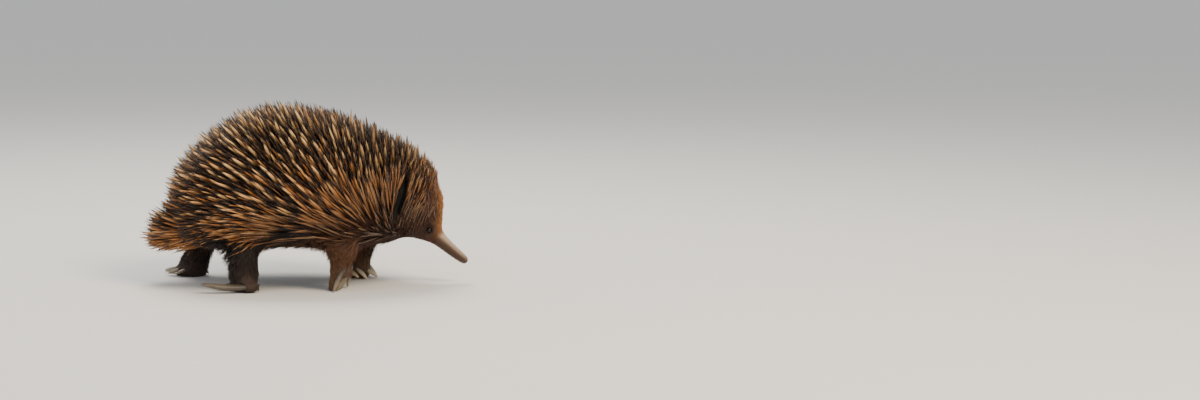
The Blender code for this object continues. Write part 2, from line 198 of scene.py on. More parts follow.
class EchidnaSkin(bpy.types.PropertyGroup):
    """Sizes of the skin under the coat."""

    swell: length_property("Swell", 0.7, "How far the solids swell, to close the cuts between them")
    voxel: length_property("Voxel", 2.2, "Grain of the skin's mesh")
    lid_opening: length_property("Lid opening", 3.5, "Radius of the opening between the eyelids")
    lid_ring: length_property("Lid ring", 5.6, "Radius of the folded ring of skin round the eye")
    nostril: length_property("Nostril", 2.4, "Depth of a nostril")
    steps: IntProperty(name="Steps", description="Rounds of sinking in from the coat", default=6, min=1)


class EchidnaQuills(bpy.types.PropertyGroup):
    """Spacing and thickness of the quills."""

    pale_spacing: length_property("Pale spacing", 9.4, "Least distance between roots of pale quills")
    brown_spacing: length_property("Brown spacing", 7.6, "Least distance between roots of brown quills")
    dark_spacing: length_property("Dark spacing", 3.6, "Least distance between roots of dark quills")
    pale_width: length_property("Pale width", 3.7, "Thickness of a pale quill")
    brown_width: length_property("Brown width", 2.5, "Thickness of a brown quill")
    dark_width: length_property("Dark width", 1.6, "Thickness of a dark quill")
    bristle_spacing: length_property("Bristle spacing", 3.9, "Least distance between roots of bristles")
    bristle_width: length_property("Bristle width", 2.6, "Thickness of a bristle at full length")
    longest: length_property("Longest", 58, "Longest quill from root to tip")


class EchidnaFur(bpy.types.PropertyGroup):
    """Spacing and thickness of the fur's tufts."""

    under_spacing: length_property("Underfur spacing", 4.4, "Least distance between tufts among the quills")
    body_spacing: length_property("Body spacing", 2.9, "Least distance between tufts of the belly and legs")
    foot_spacing: length_property("Foot spacing", 1.8, "Least distance between tufts of the shanks and feet")
    face_spacing: length_property("Face spacing", 1.35, "Least distance between tufts of the face")
    hair_width: length_property("Hair width", 0.55, "Thickness of a strand 14 mm long at its root")


class EchidnaStage(bpy.types.PropertyGroup):
    """Camera and light."""

    distance: FloatProperty(
        name="Distance", description="Camera to animal", unit="LENGTH", default=2.5
    )
    elevation: FloatProperty(
        name="Elevation", description="Camera above level", subtype="ANGLE", default=math.radians(6.2)
    )
    lens: FloatProperty(name="Lens", description="Focal length in millimetres", default=62.5, min=1)
    shift: FloatProperty(name="Shift", description="Share of the frame that the view is moved", default=0.25)
    key: power_property("Key light", 70, "Power of the warm light")
    fill: power_property("Fill light", 12, "Power of the pale light")
    top: power_property("Top light", 44, "Power of the light over the back")


SETTINGS = {
    "echidna_colours": EchidnaColours,
    "echidna_skin": EchidnaSkin,
    "echidna_quills": EchidnaQuills,
    "echidna_fur": EchidnaFur,
    "echidna_stage": EchidnaStage,
}


# Reading the coat's map

def map_weights(points):
    """How much each place of the coat's map counts at each point."""
    places = np.array([row[1:4] for row in COAT_MAP], float) * MM
    mirrored = np.column_stack((points[:, 0], np.abs(points[:, 1]), points[:, 2]))
    apart = ((mirrored[:, None, :] - places[None, :, :]) ** 2).sum(2)
    weights = 1 / (apart + MAP_SOFTNESS ** 2) ** MAP_SHARPNESS
    return weights / weights.sum(1, keepdims=True)


def coat_at(points):
    """Depth, lie, lift, quill share, fur length and fur colour at each point, in metres and radians."""
    weights = map_weights(points)
    depth, lie, lift, quills, fur = np.array([row[4:9] for row in COAT_MAP], float).T.copy()
    lie = np.radians(lie)
    colours = bpy.context.scene.echidna_colours
    fur_colours = np.array([tuple(getattr(colours, row[9])) for row in COAT_MAP])
    return {
        "depth": weights @ depth * MM,
        "lie": np.arctan2(weights @ np.sin(lie), weights @ np.cos(lie)),
        "lift": np.radians(weights @ lift),
        "quills": weights @ quills,
        "fur": weights @ fur * MM,
        "colour": weights @ fur_colours,
    }


# Modelling helpers

def deselect_all():
    if bpy.context.mode != "OBJECT":
        bpy.ops.object.mode_set(mode="OBJECT")
    bpy.ops.object.select_all(action="DESELECT")


def pick(*objects):
    """Selects these objects alone and makes the first one active."""
    deselect_all()
    for obj in objects:
        obj.select_set(True)
    bpy.context.view_layer.objects.active = objects[0]


@contextmanager
def editing(obj, select=None):
    """Edit mode on this object alone, with all of it selected or deselected if asked."""
    pick(obj)
    bpy.ops.object.mode_set(mode="EDIT")
    if select:
        bpy.ops.mesh.select_all(action=select)
    yield
    bpy.ops.object.mode_set(mode="OBJECT")


def select_only(obj, kind, chosen):
    """Leaves just these vertices or faces selected, by a yes or no for each."""
    with editing(obj, "DESELECT"):
        bpy.ops.mesh.select_mode(type=kind)
    items = obj.data.vertices if kind == "VERT" else obj.data.polygons
    items.foreach_set("select", chosen)


def new_object(name, data):
    obj = bpy.data.objects.new(name, data)
    bpy.context.scene.collection.objects.link(obj)
    return obj


def node_copy(name, node):
    """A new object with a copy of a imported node's mesh, its loose triangles merged."""
    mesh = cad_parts[node].data.copy()
    mesh.materials.clear()
    obj = new_object(name, mesh)
    with editing(obj, "SELECT"):
        bpy.ops.mesh.remove_doubles(threshold=WELD)
    return obj


def new_ball(segments, rings, radius):
    """A ball round the origin, with its poles on Z."""
    deselect_all()
    bpy.ops.mesh.primitive_uv_sphere_add(
        segments=segments, ring_count=rings, radius=radius, location=(0, 0, 0)
    )
    return bpy.context.active_object


def turn_to(way):
    """The turn that brings +Z to a direction."""
    return Vector(way).to_track_quat("Z", "Y").to_matrix().to_4x4()


def modify(obj, kind, **settings):
    """Applies one modifier to an object."""
    made = obj.modifiers.new(kind.lower(), kind)
    for key, value in settings.items():
        setattr(made, key, value)
    pick(obj)
    bpy.ops.object.modifier_apply(modifier=made.name)


def read(items, field, width, kind=float):
    """A field of every vertex, edge, face or corner, a row for each."""
    found = np.empty(len(items) * width, kind)
    items.foreach_get(field, found)
    return found.reshape(-1, width)


def positions(mesh):
    return read(mesh.vertices, "co", 3)


def move_to(mesh, points):
    mesh.vertices.foreach_set("co", points.ravel())
    mesh.update()


def search_tree(mesh):
    return BVHTree.FromPolygons(positions(mesh).tolist(), [tuple(face.vertices) for face in mesh.polygons])


def store(mesh, name, values):
    """Keeps a number for each vertex as a named attribute."""
    made = mesh.attributes.new(name, "FLOAT", "POINT")
    made.data.foreach_set("value", np.ascontiguousarray(values, np.float32).ravel())


def store_marking(mesh, colours):
    """Keeps a colour for each vertex, for the materials to start from."""
    made = mesh.attributes.new("marking", "FLOAT_COLOR", "POINT")
    opaque = np.column_stack((colours, np.ones(len(colours))))
    made.data.foreach_set("color", np.ascontiguousarray(opaque, np.float32).ravel())


def smooth_step(low, high, values):
    share = np.clip((values - low) / (high - low), 0, 1)
    return share * share * (3 - 2 * share)


def step_mm(low, high, values):
    """A smooth step between two lengths in millimetres, for values in metres."""
    return smooth_step(low * MM, high * MM, values)


def mix(low, high, share):
    return low * (1 - share) + high * share


def unit(vectors):
    return vectors / np.maximum(np.linalg.norm(vectors, axis=-1, keepdims=True), 1e-12)


def finish_piece(obj, material, nodes=()):
    """Gives a piece its material and ties it to the frame."""
    obj.data.materials.clear()
    obj.data.materials.append(material)
    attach(obj, "root")
    if nodes:
        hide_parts(*nodes)


def smooth(obj):
    pick(obj)
    bpy.ops.object.shade_smooth()


# Materials

def add_node(tree, kind, label, settings=None, values=None, links=None):
    """Adds a node, sets it up and links its inputs from (node, output) pairs."""
    node = tree.nodes.new(kind)
    node.label = label
    for key, value in (settings or {}).items():
        setattr(node, key, value)
    for key, value in (values or {}).items():
        node.inputs[key].default_value = value
    for key, (source, output) in (links or {}).items():
        tree.links.new(source.outputs[output], node.inputs[key])
    return node


def new_material(name, **shader_values):
    made = bpy.data.materials.new(name)
    made.use_nodes = True
    shader = made.node_tree.nodes["Principled BSDF"]
    for key, value in shader_values.items():
        shader.inputs[key.replace("_", " ")].default_value = value
    return made, made.node_tree, shader


def per_metre(millimetres):
    """A noise scale whose features are this many millimetres across."""
    return 1 / (millimetres * MM)


def hide_material():
    """Live skin: thick, dry and finely creased, bare and slightly greasy on the bill."""
    material, tree, shader = new_material("living_skin", Roughness=0.5, IOR=1.42)
    place = add_node(tree, "ShaderNodeTexCoord", "object place")
    marking, bare = (
        add_node(tree, "ShaderNodeAttribute", name, {"attribute_name": name}) for name in ("marking", "bare")
    )
    mottle = add_node(
        tree, "ShaderNodeTexNoise", "mottling, 4 mm",
        values={"Scale": per_metre(4), "Detail": 5, "Roughness": 0.6}, links={"Vector": (place, "Object")},
    )
    spread = add_node(
        tree, "ShaderNodeMapRange", "mottling's reach", values={"To Min": 0.62, "To Max": 1.35},
        links={"Value": (mottle, "Fac")},
    )
    tinted = add_node(
        tree, "ShaderNodeVectorMath", "mottled marking", {"operation": "SCALE"},
        links={0: (marking, "Color"), "Scale": (spread, "Result")},
    )
    tree.links.new(tinted.outputs[0], shader.inputs["Base Color"])
    pebbles = add_node(
        tree, "ShaderNodeTexVoronoi", "skin grain, 0.9 mm", {"feature": "F1"}, {"Scale": per_metre(0.9)},
        {"Vector": (place, "Object")},
    )
    creases = add_node(
        tree, "ShaderNodeTexNoise", "creases, 2.5 mm", values={"Scale": per_metre(2.5), "Detail": 4},
        links={"Vector": (place, "Object")},
    )
    relief = add_node(
        tree, "ShaderNodeMath", "grain and creases", {"operation": "ADD"},
        links={0: (pebbles, "Distance"), 1: (creases, "Fac")},
    )
    bump = add_node(
        tree, "ShaderNodeBump", "relief", values={"Strength": 0.35, "Distance": 0.25 * MM},
        links={"Height": (relief, "Value")},
    )
    tree.links.new(bump.outputs["Normal"], shader.inputs["Normal"])
    dryness = add_node(
        tree, "ShaderNodeMapRange", "furred skin is drier", values={"To Min": 0.8, "To Max": 0.42},
        links={"Value": (bare, "Fac")},
    )
    tree.links.new(dryness.outputs["Result"], shader.inputs["Roughness"])
    return material


def strand_material(name, roughness):
    """Hair keratin: each strand is a little lighter at its tip, and no two are quite the same brown."""
    material, tree, shader = new_material(name, Roughness=roughness, IOR=1.55)
    marking, along, tone = (
        add_node(tree, "ShaderNodeAttribute", name, {"attribute_name": name})
        for name in ("marking", "along", "tone")
    )
    paler = add_node(
        tree, "ShaderNodeMapRange", "paler to the tip", values={"To Min": 0.55, "To Max": 1.25},
        links={"Value": (along, "Fac")},
    )
    own = add_node(
        tree, "ShaderNodeMapRange", "each tuft's own tone", values={"To Min": 0.5, "To Max": 1.6},
        links={"Value": (tone, "Fac")},
    )
    both = add_node(
        tree, "ShaderNodeMath", "both", {"operation": "MULTIPLY"},
        links={0: (paler, "Result"), 1: (own, "Result")},
    )
    tinted = add_node(
        tree, "ShaderNodeVectorMath", "tinted marking", {"operation": "SCALE"},
        links={0: (marking, "Color"), "Scale": (both, "Value")},
    )
    tree.links.new(tinted.outputs[0], shader.inputs["Base Color"])
    return material


def quill_material(name, tip, roughness):
    """Quill keratin: hard, smooth and waxy, with a dark root that is partly painted shade down in the coat, a
    pale body and a dark worn tip.
    """
    material, tree, shader = new_material(name, Roughness=roughness, IOR=1.55)
    marking, along, tone = (
        add_node(tree, "ShaderNodeAttribute", name, {"attribute_name": name})
        for name in ("marking", "along", "tone")
    )
    place = add_node(tree, "ShaderNodeTexCoord", "object place")
    shift = add_node(
        tree, "ShaderNodeMapRange", "where this quill darkens", values={"To Min": -0.1, "To Max": 0.12},
        links={"Value": (tone, "Fac")},
    )
    run = add_node(
        tree, "ShaderNodeMath", "run along the quill", {"operation": "ADD"},
        links={0: (along, "Fac"), 1: (shift, "Result")},
    )
    # The dark root band is partly the quill's own dark base and partly painted shade down in the coat.
    bands = add_node(tree, "ShaderNodeValToRGB", "root, body and tip", links={"Fac": (run, "Value")})
    bands.color_ramp.elements.remove(bands.color_ramp.elements[1])
    bands.color_ramp.elements[0].color = (0.2, 0.2, 0.2, 1)
    for stop, level in ((0.22, 0.7), (0.42, 1.0), (0.8, 0.95), (0.93, 0.15), (1.0, 0.0)):
        bands.color_ramp.elements.new(stop).color = (level, level, level, 1)
    streak = add_node(
        tree, "ShaderNodeTexNoise", "growth streaks, 1.5 mm", values={"Scale": per_metre(1.5), "Detail": 3},
        links={"Vector": (place, "Object")},
    )
    wear = add_node(
        tree, "ShaderNodeMapRange", "streaks' reach", values={"To Min": 0.75, "To Max": 1.22},
        links={"Value": (streak, "Fac")},
    )
    coloured = add_node(
        tree, "ShaderNodeMix", "tip over body", {"data_type": "RGBA"}, {"A": (*tip, 1)},
        {"Factor": (bands, "Color"), "B": (marking, "Color")},
    )
    worn = add_node(
        tree, "ShaderNodeVectorMath", "streaked", {"operation": "SCALE"},
        links={0: (coloured, "Result"), "Scale": (wear, "Result")},
    )
    tree.links.new(worn.outputs[0], shader.inputs["Base Color"])
    return material


def claw_material():
    """Horn: grey-brown and dull, with long growth streaks, and worn pale towards the tip, paler still on the
    far feet as painted sunlight.
    """
    colours = bpy.context.scene.echidna_colours
    material, tree, shader = new_material("claw_horn", Roughness=0.38, IOR=1.54)
    along, around, pale = (
        add_node(tree, "ShaderNodeAttribute", name, {"attribute_name": name})
        for name in ("along", "around", "pale")
    )
    place = add_node(tree, "ShaderNodeTexCoord", "object place")
    # How pale the tip turns is wear, and on the far feet also painted sunlight.
    worn = add_node(
        tree, "ShaderNodeMapRange", "wear towards the tip", values={"From Min": 0.1, "From Max": 0.7},
        links={"Value": (along, "Fac"), "To Max": (pale, "Fac")},
    )
    base = add_node(
        tree, "ShaderNodeMix", "root to tip", {"data_type": "RGBA"},
        {"A": (*colours.claw, 1), "B": (*colours.claw_tip, 1)}, {"Factor": (worn, "Result")},
    )
    run = add_node(
        tree, "ShaderNodeCombineXYZ", "round and along", links={"X": (around, "Fac"), "Y": (along, "Fac")}
    )
    stretched = add_node(
        tree, "ShaderNodeMapping", "long streaks", values={"Scale": (26, 3, 1)},
        links={"Vector": (run, "Vector")},
    )
    streaks = add_node(
        tree, "ShaderNodeTexNoise", "growth streaks", values={"Scale": 1, "Detail": 4},
        links={"Vector": (stretched, "Vector")},
    )
    grime = add_node(
        tree, "ShaderNodeTexNoise", "earth in the horn, 4 mm", values={"Scale": per_metre(4), "Detail": 5},
        links={"Vector": (place, "Object")},
    )
    both = add_node(
        tree, "ShaderNodeMath", "streaks and earth", {"operation": "ADD"},
        links={0: (streaks, "Fac"), 1: (grime, "Fac")},
    )
    reach = add_node(
        tree, "ShaderNodeMapRange", "their reach",
        values={"From Min": 0.7, "From Max": 1.3, "To Min": 0.6, "To Max": 1.3},
        links={"Value": (both, "Value")},
    )
    tinted = add_node(
        tree, "ShaderNodeVectorMath", "grimed horn", {"operation": "SCALE"},
        links={0: (base, "Result"), "Scale": (reach, "Result")},
    )
    tree.links.new(tinted.outputs[0], shader.inputs["Base Color"])
    bump = add_node(
        tree, "ShaderNodeBump", "growth lines", values={"Strength": 0.5, "Distance": 0.25 * MM},
        links={"Height": (streaks, "Fac")},
    )
    tree.links.new(bump.outputs["Normal"], shader.inputs["Normal"])
    return material


def eye_material():
    """A wet cornea over a near-black iris."""
    colours = bpy.context.scene.echidna_colours
    material, tree, shader = new_material("wet_eye", Roughness=0.12, IOR=1.38)
    rim = add_node(tree, "ShaderNodeAttribute", "from the pupil", {"attribute_name": "rim"})
    iris = add_node(
        tree, "ShaderNodeMix", "pupil to iris", {"data_type": "RGBA"},
        {"A": (0.002, 0.002, 0.002, 1), "B": (*colours.eye, 1)}, {"Factor": (rim, "Fac")},
    )
    tree.links.new(iris.outputs["Result"], shader.inputs["Base Color"])
    return material


def floor_material():
    """Matt studio paint."""
    colours = bpy.context.scene.echidna_colours
    return new_material("matt_floor_paint", Roughness=0.9, Base_Color=(*colours.floor, 1))[0]


# The skin

def eyeball(side):
    """Centre and radius of an eye."""
    low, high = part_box(f"eye_{side}")
    return (low + high) / 2, (high.z - low.z) / 2


def eye_distance(points):
    """How far points are from the middle of the nearest eye."""
    centres = [np.array(eyeball(side)[0]) for side in SIDES]
    return np.minimum(*(np.linalg.norm(points - centre, axis=1) for centre in centres))


def relaxed(points, pairs, rounds):
    """Points drawn half way to the middle of their neighbours, a few times over."""
    for _ in range(rounds):
        total = np.zeros_like(points)
        for near, far in ((0, 1), (1, 0)):
            for axis in range(3):
                total[:, axis] += np.bincount(pairs[:, near], points[pairs[:, far], axis], len(points))
        count = np.bincount(pairs.ravel(), minlength=len(points))
        points = points + 0.5 * (total / np.maximum(count, 1)[:, None] - points)
    return points


def depth_under(tree, points):
    """How far each point lies under a surface; less than nothing outside it."""
    found = np.empty(len(points))
    for index, point in enumerate(points):
        near, facing, _, distance = tree.find_nearest(point)
        away = sum((near[axis] - point[axis]) * facing[axis] for axis in range(3))
        found[index] = distance if away > 0 else -distance
    return found


SINK_LIMIT = 6 * MM  # the furthest that one round of sinking moves a point


def sink_in(obj, outline, steps, relaxing):
    """Moves the surface down to the coat's depth under its outline, a little at a time."""
    mesh = obj.data
    pairs = read(mesh.edges, "vertices", 2, int)
    wanted = coat_at(positions(mesh))["depth"]
    for step in range(1, steps + 1):
        points = positions(mesh)
        short = wanted * step / steps - depth_under(outline, points)
        inward = np.clip(short, -SINK_LIMIT, SINK_LIMIT)[:, None]
        points -= read(mesh.vertex_normals, "vector", 3) * inward
        move_to(mesh, relaxed(points, pairs, relaxing))


def refine(obj, test):
    """Divides the faces whose middles pass a test into four."""
    select_only(obj, "FACE", test(read(obj.data.polygons, "center", 3)))
    with editing(obj):
        bpy.ops.mesh.subdivide(number_cuts=1, smoothness=0.9)


# The skin folded round an eye
LID_REACH = 11 * MM
LID_BACK = -6 * MM
LID_RISE = 0.9 * MM
FOLD_HEIGHT = 0.42 * MM
FOLD_SPACING = 1.35 * MM
EYE_HOLE = 1.2 * MM
EYE_STEP = 8 * MM  # sideways from an eye's middle to where its lids are looked for


def shape_lids(points, centre, axis, radius, settings):
    """Opens the lids over an eyeball and folds the skin into rings round it."""
    away = points - centre
    height = away @ axis
    reach = np.linalg.norm(away - height[:, None] * axis, axis=1)
    near = (reach < LID_REACH) & (height > LID_BACK)
    opening = settings.lid_opening
    ring = settings.lid_ring
    ball = np.sqrt(np.maximum(radius ** 2 - np.minimum(reach, radius) ** 2, 0))
    edge = math.sqrt(radius ** 2 - opening ** 2) + LID_RISE
    inside = smooth_step(opening + 0.1 * MM, opening - 0.4 * MM, reach)
    lid = smooth_step(ring + 2.5 * MM, opening + 0.6 * MM, reach)
    folds = FOLD_HEIGHT * np.cos((reach - opening - 0.5 * MM) / FOLD_SPACING * math.tau)
    folds *= smooth_step(9 * MM, ring, reach) * smooth_step(opening, opening + 0.5 * MM, reach)
    wanted = mix(mix(height, edge, lid) + folds, ball - EYE_HOLE, inside)
    moved = points + (wanted - height)[:, None] * axis
    return np.where(near[:, None], moved, points)


def shape_face(obj, settings):
    """Lids, nostrils, mouth and the creases of the bill's base."""
    mesh = obj.data
    points = positions(mesh)
    tree = search_tree(mesh)
    for side, sign in SIDES.items():
        centre, radius = eyeball(side)
        nearest = tree.find_nearest(centre + Vector((0, sign * EYE_STEP, 0)))[0]
        outward = (nearest - centre) + Vector((0.2, sign, 0.25)) * EYE_STEP
        points = shape_lids(points, np.array(centre), np.array(outward.normalized()), radius, settings)
    move_to(mesh, shape_bill(points, settings))


# The bill's own frame, and the nostrils, mouth, rings and flutes on it
BILL_BASE = np.array((158.0, 0, 55.0)) * MM
BILL_PITCH = math.radians(-39)
BILL_AHEAD = np.array((math.cos(BILL_PITCH), 0, math.sin(BILL_PITCH)))
BILL_UP = np.array((-math.sin(BILL_PITCH), 0, math.cos(BILL_PITCH)))
NOSTRIL_RUN = 45.4 * MM
NOSTRIL_OUT = 2.7 * MM
NOSTRIL_HALF_LENGTH = 2.0 * MM
NOSTRIL_HALF_WIDTH = 1.35 * MM
MOUTH_DROP = 3.6 * MM
MOUTH_HALF_HEIGHT = 0.55 * MM
MOUTH_DEPTH = 0.7 * MM
RING_SPACING = 2.1 * MM
FLUTE_SPACING = 5.3 * MM
OUTSIDE = 9.0  # a span for points that are on no nostril or ear


def bill_frame(points):
    """Run along the bill from its base, height over its axis and distance to the side."""
    away = points - BILL_BASE
    return away @ BILL_AHEAD, away @ BILL_UP, points[:, 1]


def bareness(points):
    """1 on the bare bill, 0 where fur grows."""
    run, height, out = bill_frame(points)
    edge = 1.2 * MM * np.sin(np.arctan2(height, np.abs(out)) * 3 + 0.6) + 0.5 * MM * np.sin(out / (1.1 * MM))
    return step_mm(-3, 5, run + edge)


def nostril_span(points):
    """How far points are from the middle of a nostril: 1 at its rim, more outside."""
    run, height, out = bill_frame(points)
    spans = [
        np.hypot((run - NOSTRIL_RUN) / NOSTRIL_HALF_LENGTH, (out - side * NOSTRIL_OUT) / NOSTRIL_HALF_WIDTH)
        for side in SIDES.values()
    ]
    return np.where(height > 1 * MM, np.minimum(*spans), OUTSIDE)


def shape_bill(points, settings):
    """Nostrils on top of the tip, the mouth's slit under it, and soft rings round the bill's base."""
    run, height, out = bill_frame(points)
    moved = points.copy()
    span = nostril_span(points)
    hole = smooth_step(1.15, 0.45, span)
    rim = np.exp(-((span - 1.5) / 0.4) ** 2)
    moved += (rim * 0.45 * MM - hole * settings.nostril)[:, None] * BILL_UP
    mouth = np.exp(-((height + MOUTH_DROP) / MOUTH_HALF_HEIGHT) ** 2) * step_mm(34, 40, run)
    moved[:, 1] -= mouth * MOUTH_DEPTH * np.sign(out)
    around = unit(np.column_stack((0 * out, out, 0 * out)) + height[:, None] * BILL_UP)
    at_base = smooth_step(14 * MM, 0, np.abs(run - 2 * MM)) * step_mm(-6, 2, run)
    rings = np.sin(run / RING_SPACING * math.tau) * at_base
    flutes = np.sin(run / FLUTE_SPACING * math.tau + out / (2 * MM)) * step_mm(4, 12, run)
    return moved + ((rings * 0.14 + flutes * 0.07) * MM)[:, None] * around


# The slit of an ear
EAR_SHIFT = np.array((-1.5, 0, 0)) * MM
EAR_LEAN = math.radians(15)
EAR_HALF_WIDTH = 5.6 * MM
EAR_HALF_HEIGHT = 30 * MM
EAR_DEPTH = 9.0 * MM
EAR_RIM = 2.0 * MM


def ear_span(points, name):
    """How far points are from the middle of an ear's slit: 1 at its rim, more outside."""
    low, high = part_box(f"ear_{name}")
    away = points - (np.array((low + high) / 2) + EAR_SHIFT)
    along = np.array((math.sin(EAR_LEAN), 0, math.cos(EAR_LEAN)))
    across = np.array((math.cos(EAR_LEAN), 0, -math.sin(EAR_LEAN)))
    span = np.hypot((away @ across) / EAR_HALF_WIDTH, (away @ along) / EAR_HALF_HEIGHT)
    return np.where(points[:, 1] * SIDES[name] > 20 * MM, span, OUTSIDE)


def outside_ears(points):
    """1 off the ears, 0 in their slits."""
    spans = [ear_span(points, name) for name in SIDES]
    return smooth_step(0.85, 1.1, np.minimum(*spans))


def shape_ears(points):
    """Sinks a long slit for each ear, with a soft rim."""
    moved = points.copy()
    for name, side in SIDES.items():
        span = ear_span(points, name)
        slit = smooth_step(1.1, 0.5, span)
        rim = np.exp(-((span - 1.35) / 0.3) ** 2)
        moved[:, 1] += side * (rim * EAR_RIM - slit * EAR_DEPTH)
    return moved


def claw_nodes():
    numbers = range(1, CLAWS_PER_FOOT + 1)
    return [f"{foot}_{side}_claw_{number}" for foot in FEET for side in SIDES for number in numbers]


def claw_frame(node, points):
    """Run along a claw's bent middle line, and how far points lie across and above it.

    The middle line's own places and directions at each run come with them.
    """
    solid = positions(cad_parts[node].data)
    foot = np.array(sum(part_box(node.split("_claw")[0]), Vector()) / 2)
    middle = solid.mean(0)
    _, _, ways = np.linalg.svd(solid - middle, full_matrices=False)
    chord = ways[0] if (middle - foot) @ ways[0] > 0 else -ways[0]
    solid_run = (solid - middle) @ chord
    start, length = solid_run.min(), np.ptp(solid_run)
    bend = np.polyfit((solid_run - start) / length, solid, 2)
    run = ((points - middle) @ chord - start) / length
    centre = np.column_stack((run ** 2, run, np.ones(len(run)))) @ bend
    way = unit(np.column_stack((2 * run, np.ones(len(run)))) @ bend[:2])
    across = unit(np.cross(way, (0, 0, 1)))
    above = np.cross(across, way)
    away = points - centre
    return {
        "run": run, "centre": centre, "way": way, "across": across, "above": above, "length": length,
        "side": (away * across).sum(1), "height": (away * above).sum(1),
    }


def claw_tree():
    """A search tree of the twenty claws."""
    corners = []
    faces = []
    for node in claw_nodes():
        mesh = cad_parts[node].data
        faces += [tuple(index + len(corners) for index in face.vertices) for face in mesh.polygons]
        corners += positions(mesh).tolist()
    return BVHTree.FromPolygons(corners, faces)


CLAW_SEARCH = 12 * MM  # how far a claw is looked for
CLAWS_BELOW = 40 * MM  # no claw is near anything over this height


def claw_distance(claws, points):
    """How far points are from the nearest claw, up to the length of the search."""
    found = np.full(len(points), CLAW_SEARCH)
    for index in np.flatnonzero(points[:, 2] < CLAWS_BELOW):
        distance = claws.find_nearest(Vector(points[index]), CLAW_SEARCH)[3]
        found[index] = CLAW_SEARCH if distance is None else distance
    return found


TOE_REACH = 9.5 * MM  # half the length of a toe's lobe
TOE_SHARE = 0.36  # its most, as a share of the claw's length
TOE_SET = 5 * MM  # from the claw's root to the lobe's middle
TOE_SWELL = 1.22  # the lobe's width against the claw's


def toe_plug(node):
    """A toe's lobe of flesh, which fills a claw's socket and wraps its root."""
    shape = claw_frame(node, positions(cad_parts[node].data))
    width = np.abs(shape["side"]).max() * TOE_SWELL
    reach = min(TOE_REACH, TOE_SHARE * shape["length"])
    nearest = np.abs(shape["run"] - TOE_SET / shape["length"]).argmin()
    obj = new_ball(16, 10, 1)
    place = Matrix.Translation(Vector(shape["centre"][nearest]))
    obj.data.transform(place @ turn_to(shape["way"][nearest]) @ Matrix.Diagonal((width, width, reach, 1)))
    return obj


def eye_plug(side):
    """Flesh that fills an eye socket, for the lids to be opened in."""
    centre, radius = eyeball(side)
    obj = new_ball(24, 14, radius + 0.6 * MM)
    obj.data.transform(Matrix.Translation(centre))
    return obj


def keep_outer_shell(obj):
    """Deletes the small closed shells that are left where the cuts were."""
    edges = read(obj.data.edges, "vertices", 2, int)
    label = np.arange(len(obj.data.vertices))
    while True:
        lowest = np.minimum(label[edges[:, 0]], label[edges[:, 1]])
        fresh = label.copy()
        for end in (0, 1):
            np.minimum.at(fresh, edges[:, end], lowest)
        fresh = fresh[fresh]
        if np.array_equal(fresh, label):
            break
        label = fresh
    names, counts = np.unique(label, return_counts=True)
    select_only(obj, "VERT", label != names[counts.argmax()])
    with editing(obj):
        bpy.ops.mesh.delete(type="VERT")


def remesh(obj, voxel):
    modify(obj, "REMESH", mode="VOXEL", voxel_size=voxel)
    keep_outer_shell(obj)


def whole_outline(settings):
    """The solids of flesh as one closed surface, with their cuts, sockets and eye holes filled."""
    parts = [node_copy("flesh_" + name, name) for name in FLESH]
    parts += [toe_plug(node) for node in claw_nodes()]
    parts += [eye_plug(side) for side in SIDES]
    pick(*parts)
    bpy.ops.object.join()
    body = bpy.context.active_object
    body.name = body.data.name = "skin"
    modify(body, "DISPLACE", strength=settings.swell, mid_level=0)
    remesh(body, settings.voxel)
    return body


def lift_to_floor(points):
    """Points with none below the floor."""
    points[:, 2] = np.maximum(points[:, 2], 0)
    return points


SKIN_UNDER_FUR = 0.7  # painted shade under the coat: the skin's colour against that of the fur that grows on it
NOSTRIL_PAINTED_SHADE = 0.9
TOE_BARENESS = 0.7
EAR_SHADE = 0.2


def mark_skin(obj):
    """Stores the coat's colours on the skin, and where it is bare."""
    points = positions(obj.data)
    settings = bpy.context.scene.echidna_colours
    bill_shaded_side, bill_top_highlight, sole, black = (
        np.array(tuple(getattr(settings, name))) for name in ("bill", "bill_top_highlight", "sole", "black")
    )
    bare = bareness(points)
    height = bill_frame(points)[1]
    # Painted light on the bare bill: paler towards its top as a painted highlight, darker down its sides as
    # painted shade.
    bill = mix(bill_shaded_side, bill_top_highlight, step_mm(0.5, 8, height)[:, None])
    colour = mix(SKIN_UNDER_FUR * coat_at(points)["colour"], bill, bare[:, None])
    # Painted shade inside the nostrils.
    colour = colour * (1 - NOSTRIL_PAINTED_SHADE * smooth_step(1.2, 0.6, nostril_span(points)))[:, None]
    toes = step_mm(6, 1.5, claw_distance(claw_tree(), points))[:, None]
    colour = mix(colour, sole, TOE_BARENESS * toes)
    colour = mix(EAR_SHADE * black, colour, outside_ears(points)[:, None])
    store_marking(obj.data, colour)
    store(obj.data, "bare", bare)


# Where the skin's mesh is made finer: the face, the bill, the lids and the feet
FACE_FROM, FACE_TOP = 126 * MM, 110 * MM
BILL_FROM, BILL_TOP = 137 * MM, 80 * MM
LIDS_WITHIN = 9.5 * MM
FEET_TO, FEET_TOP = 120 * MM, 24 * MM


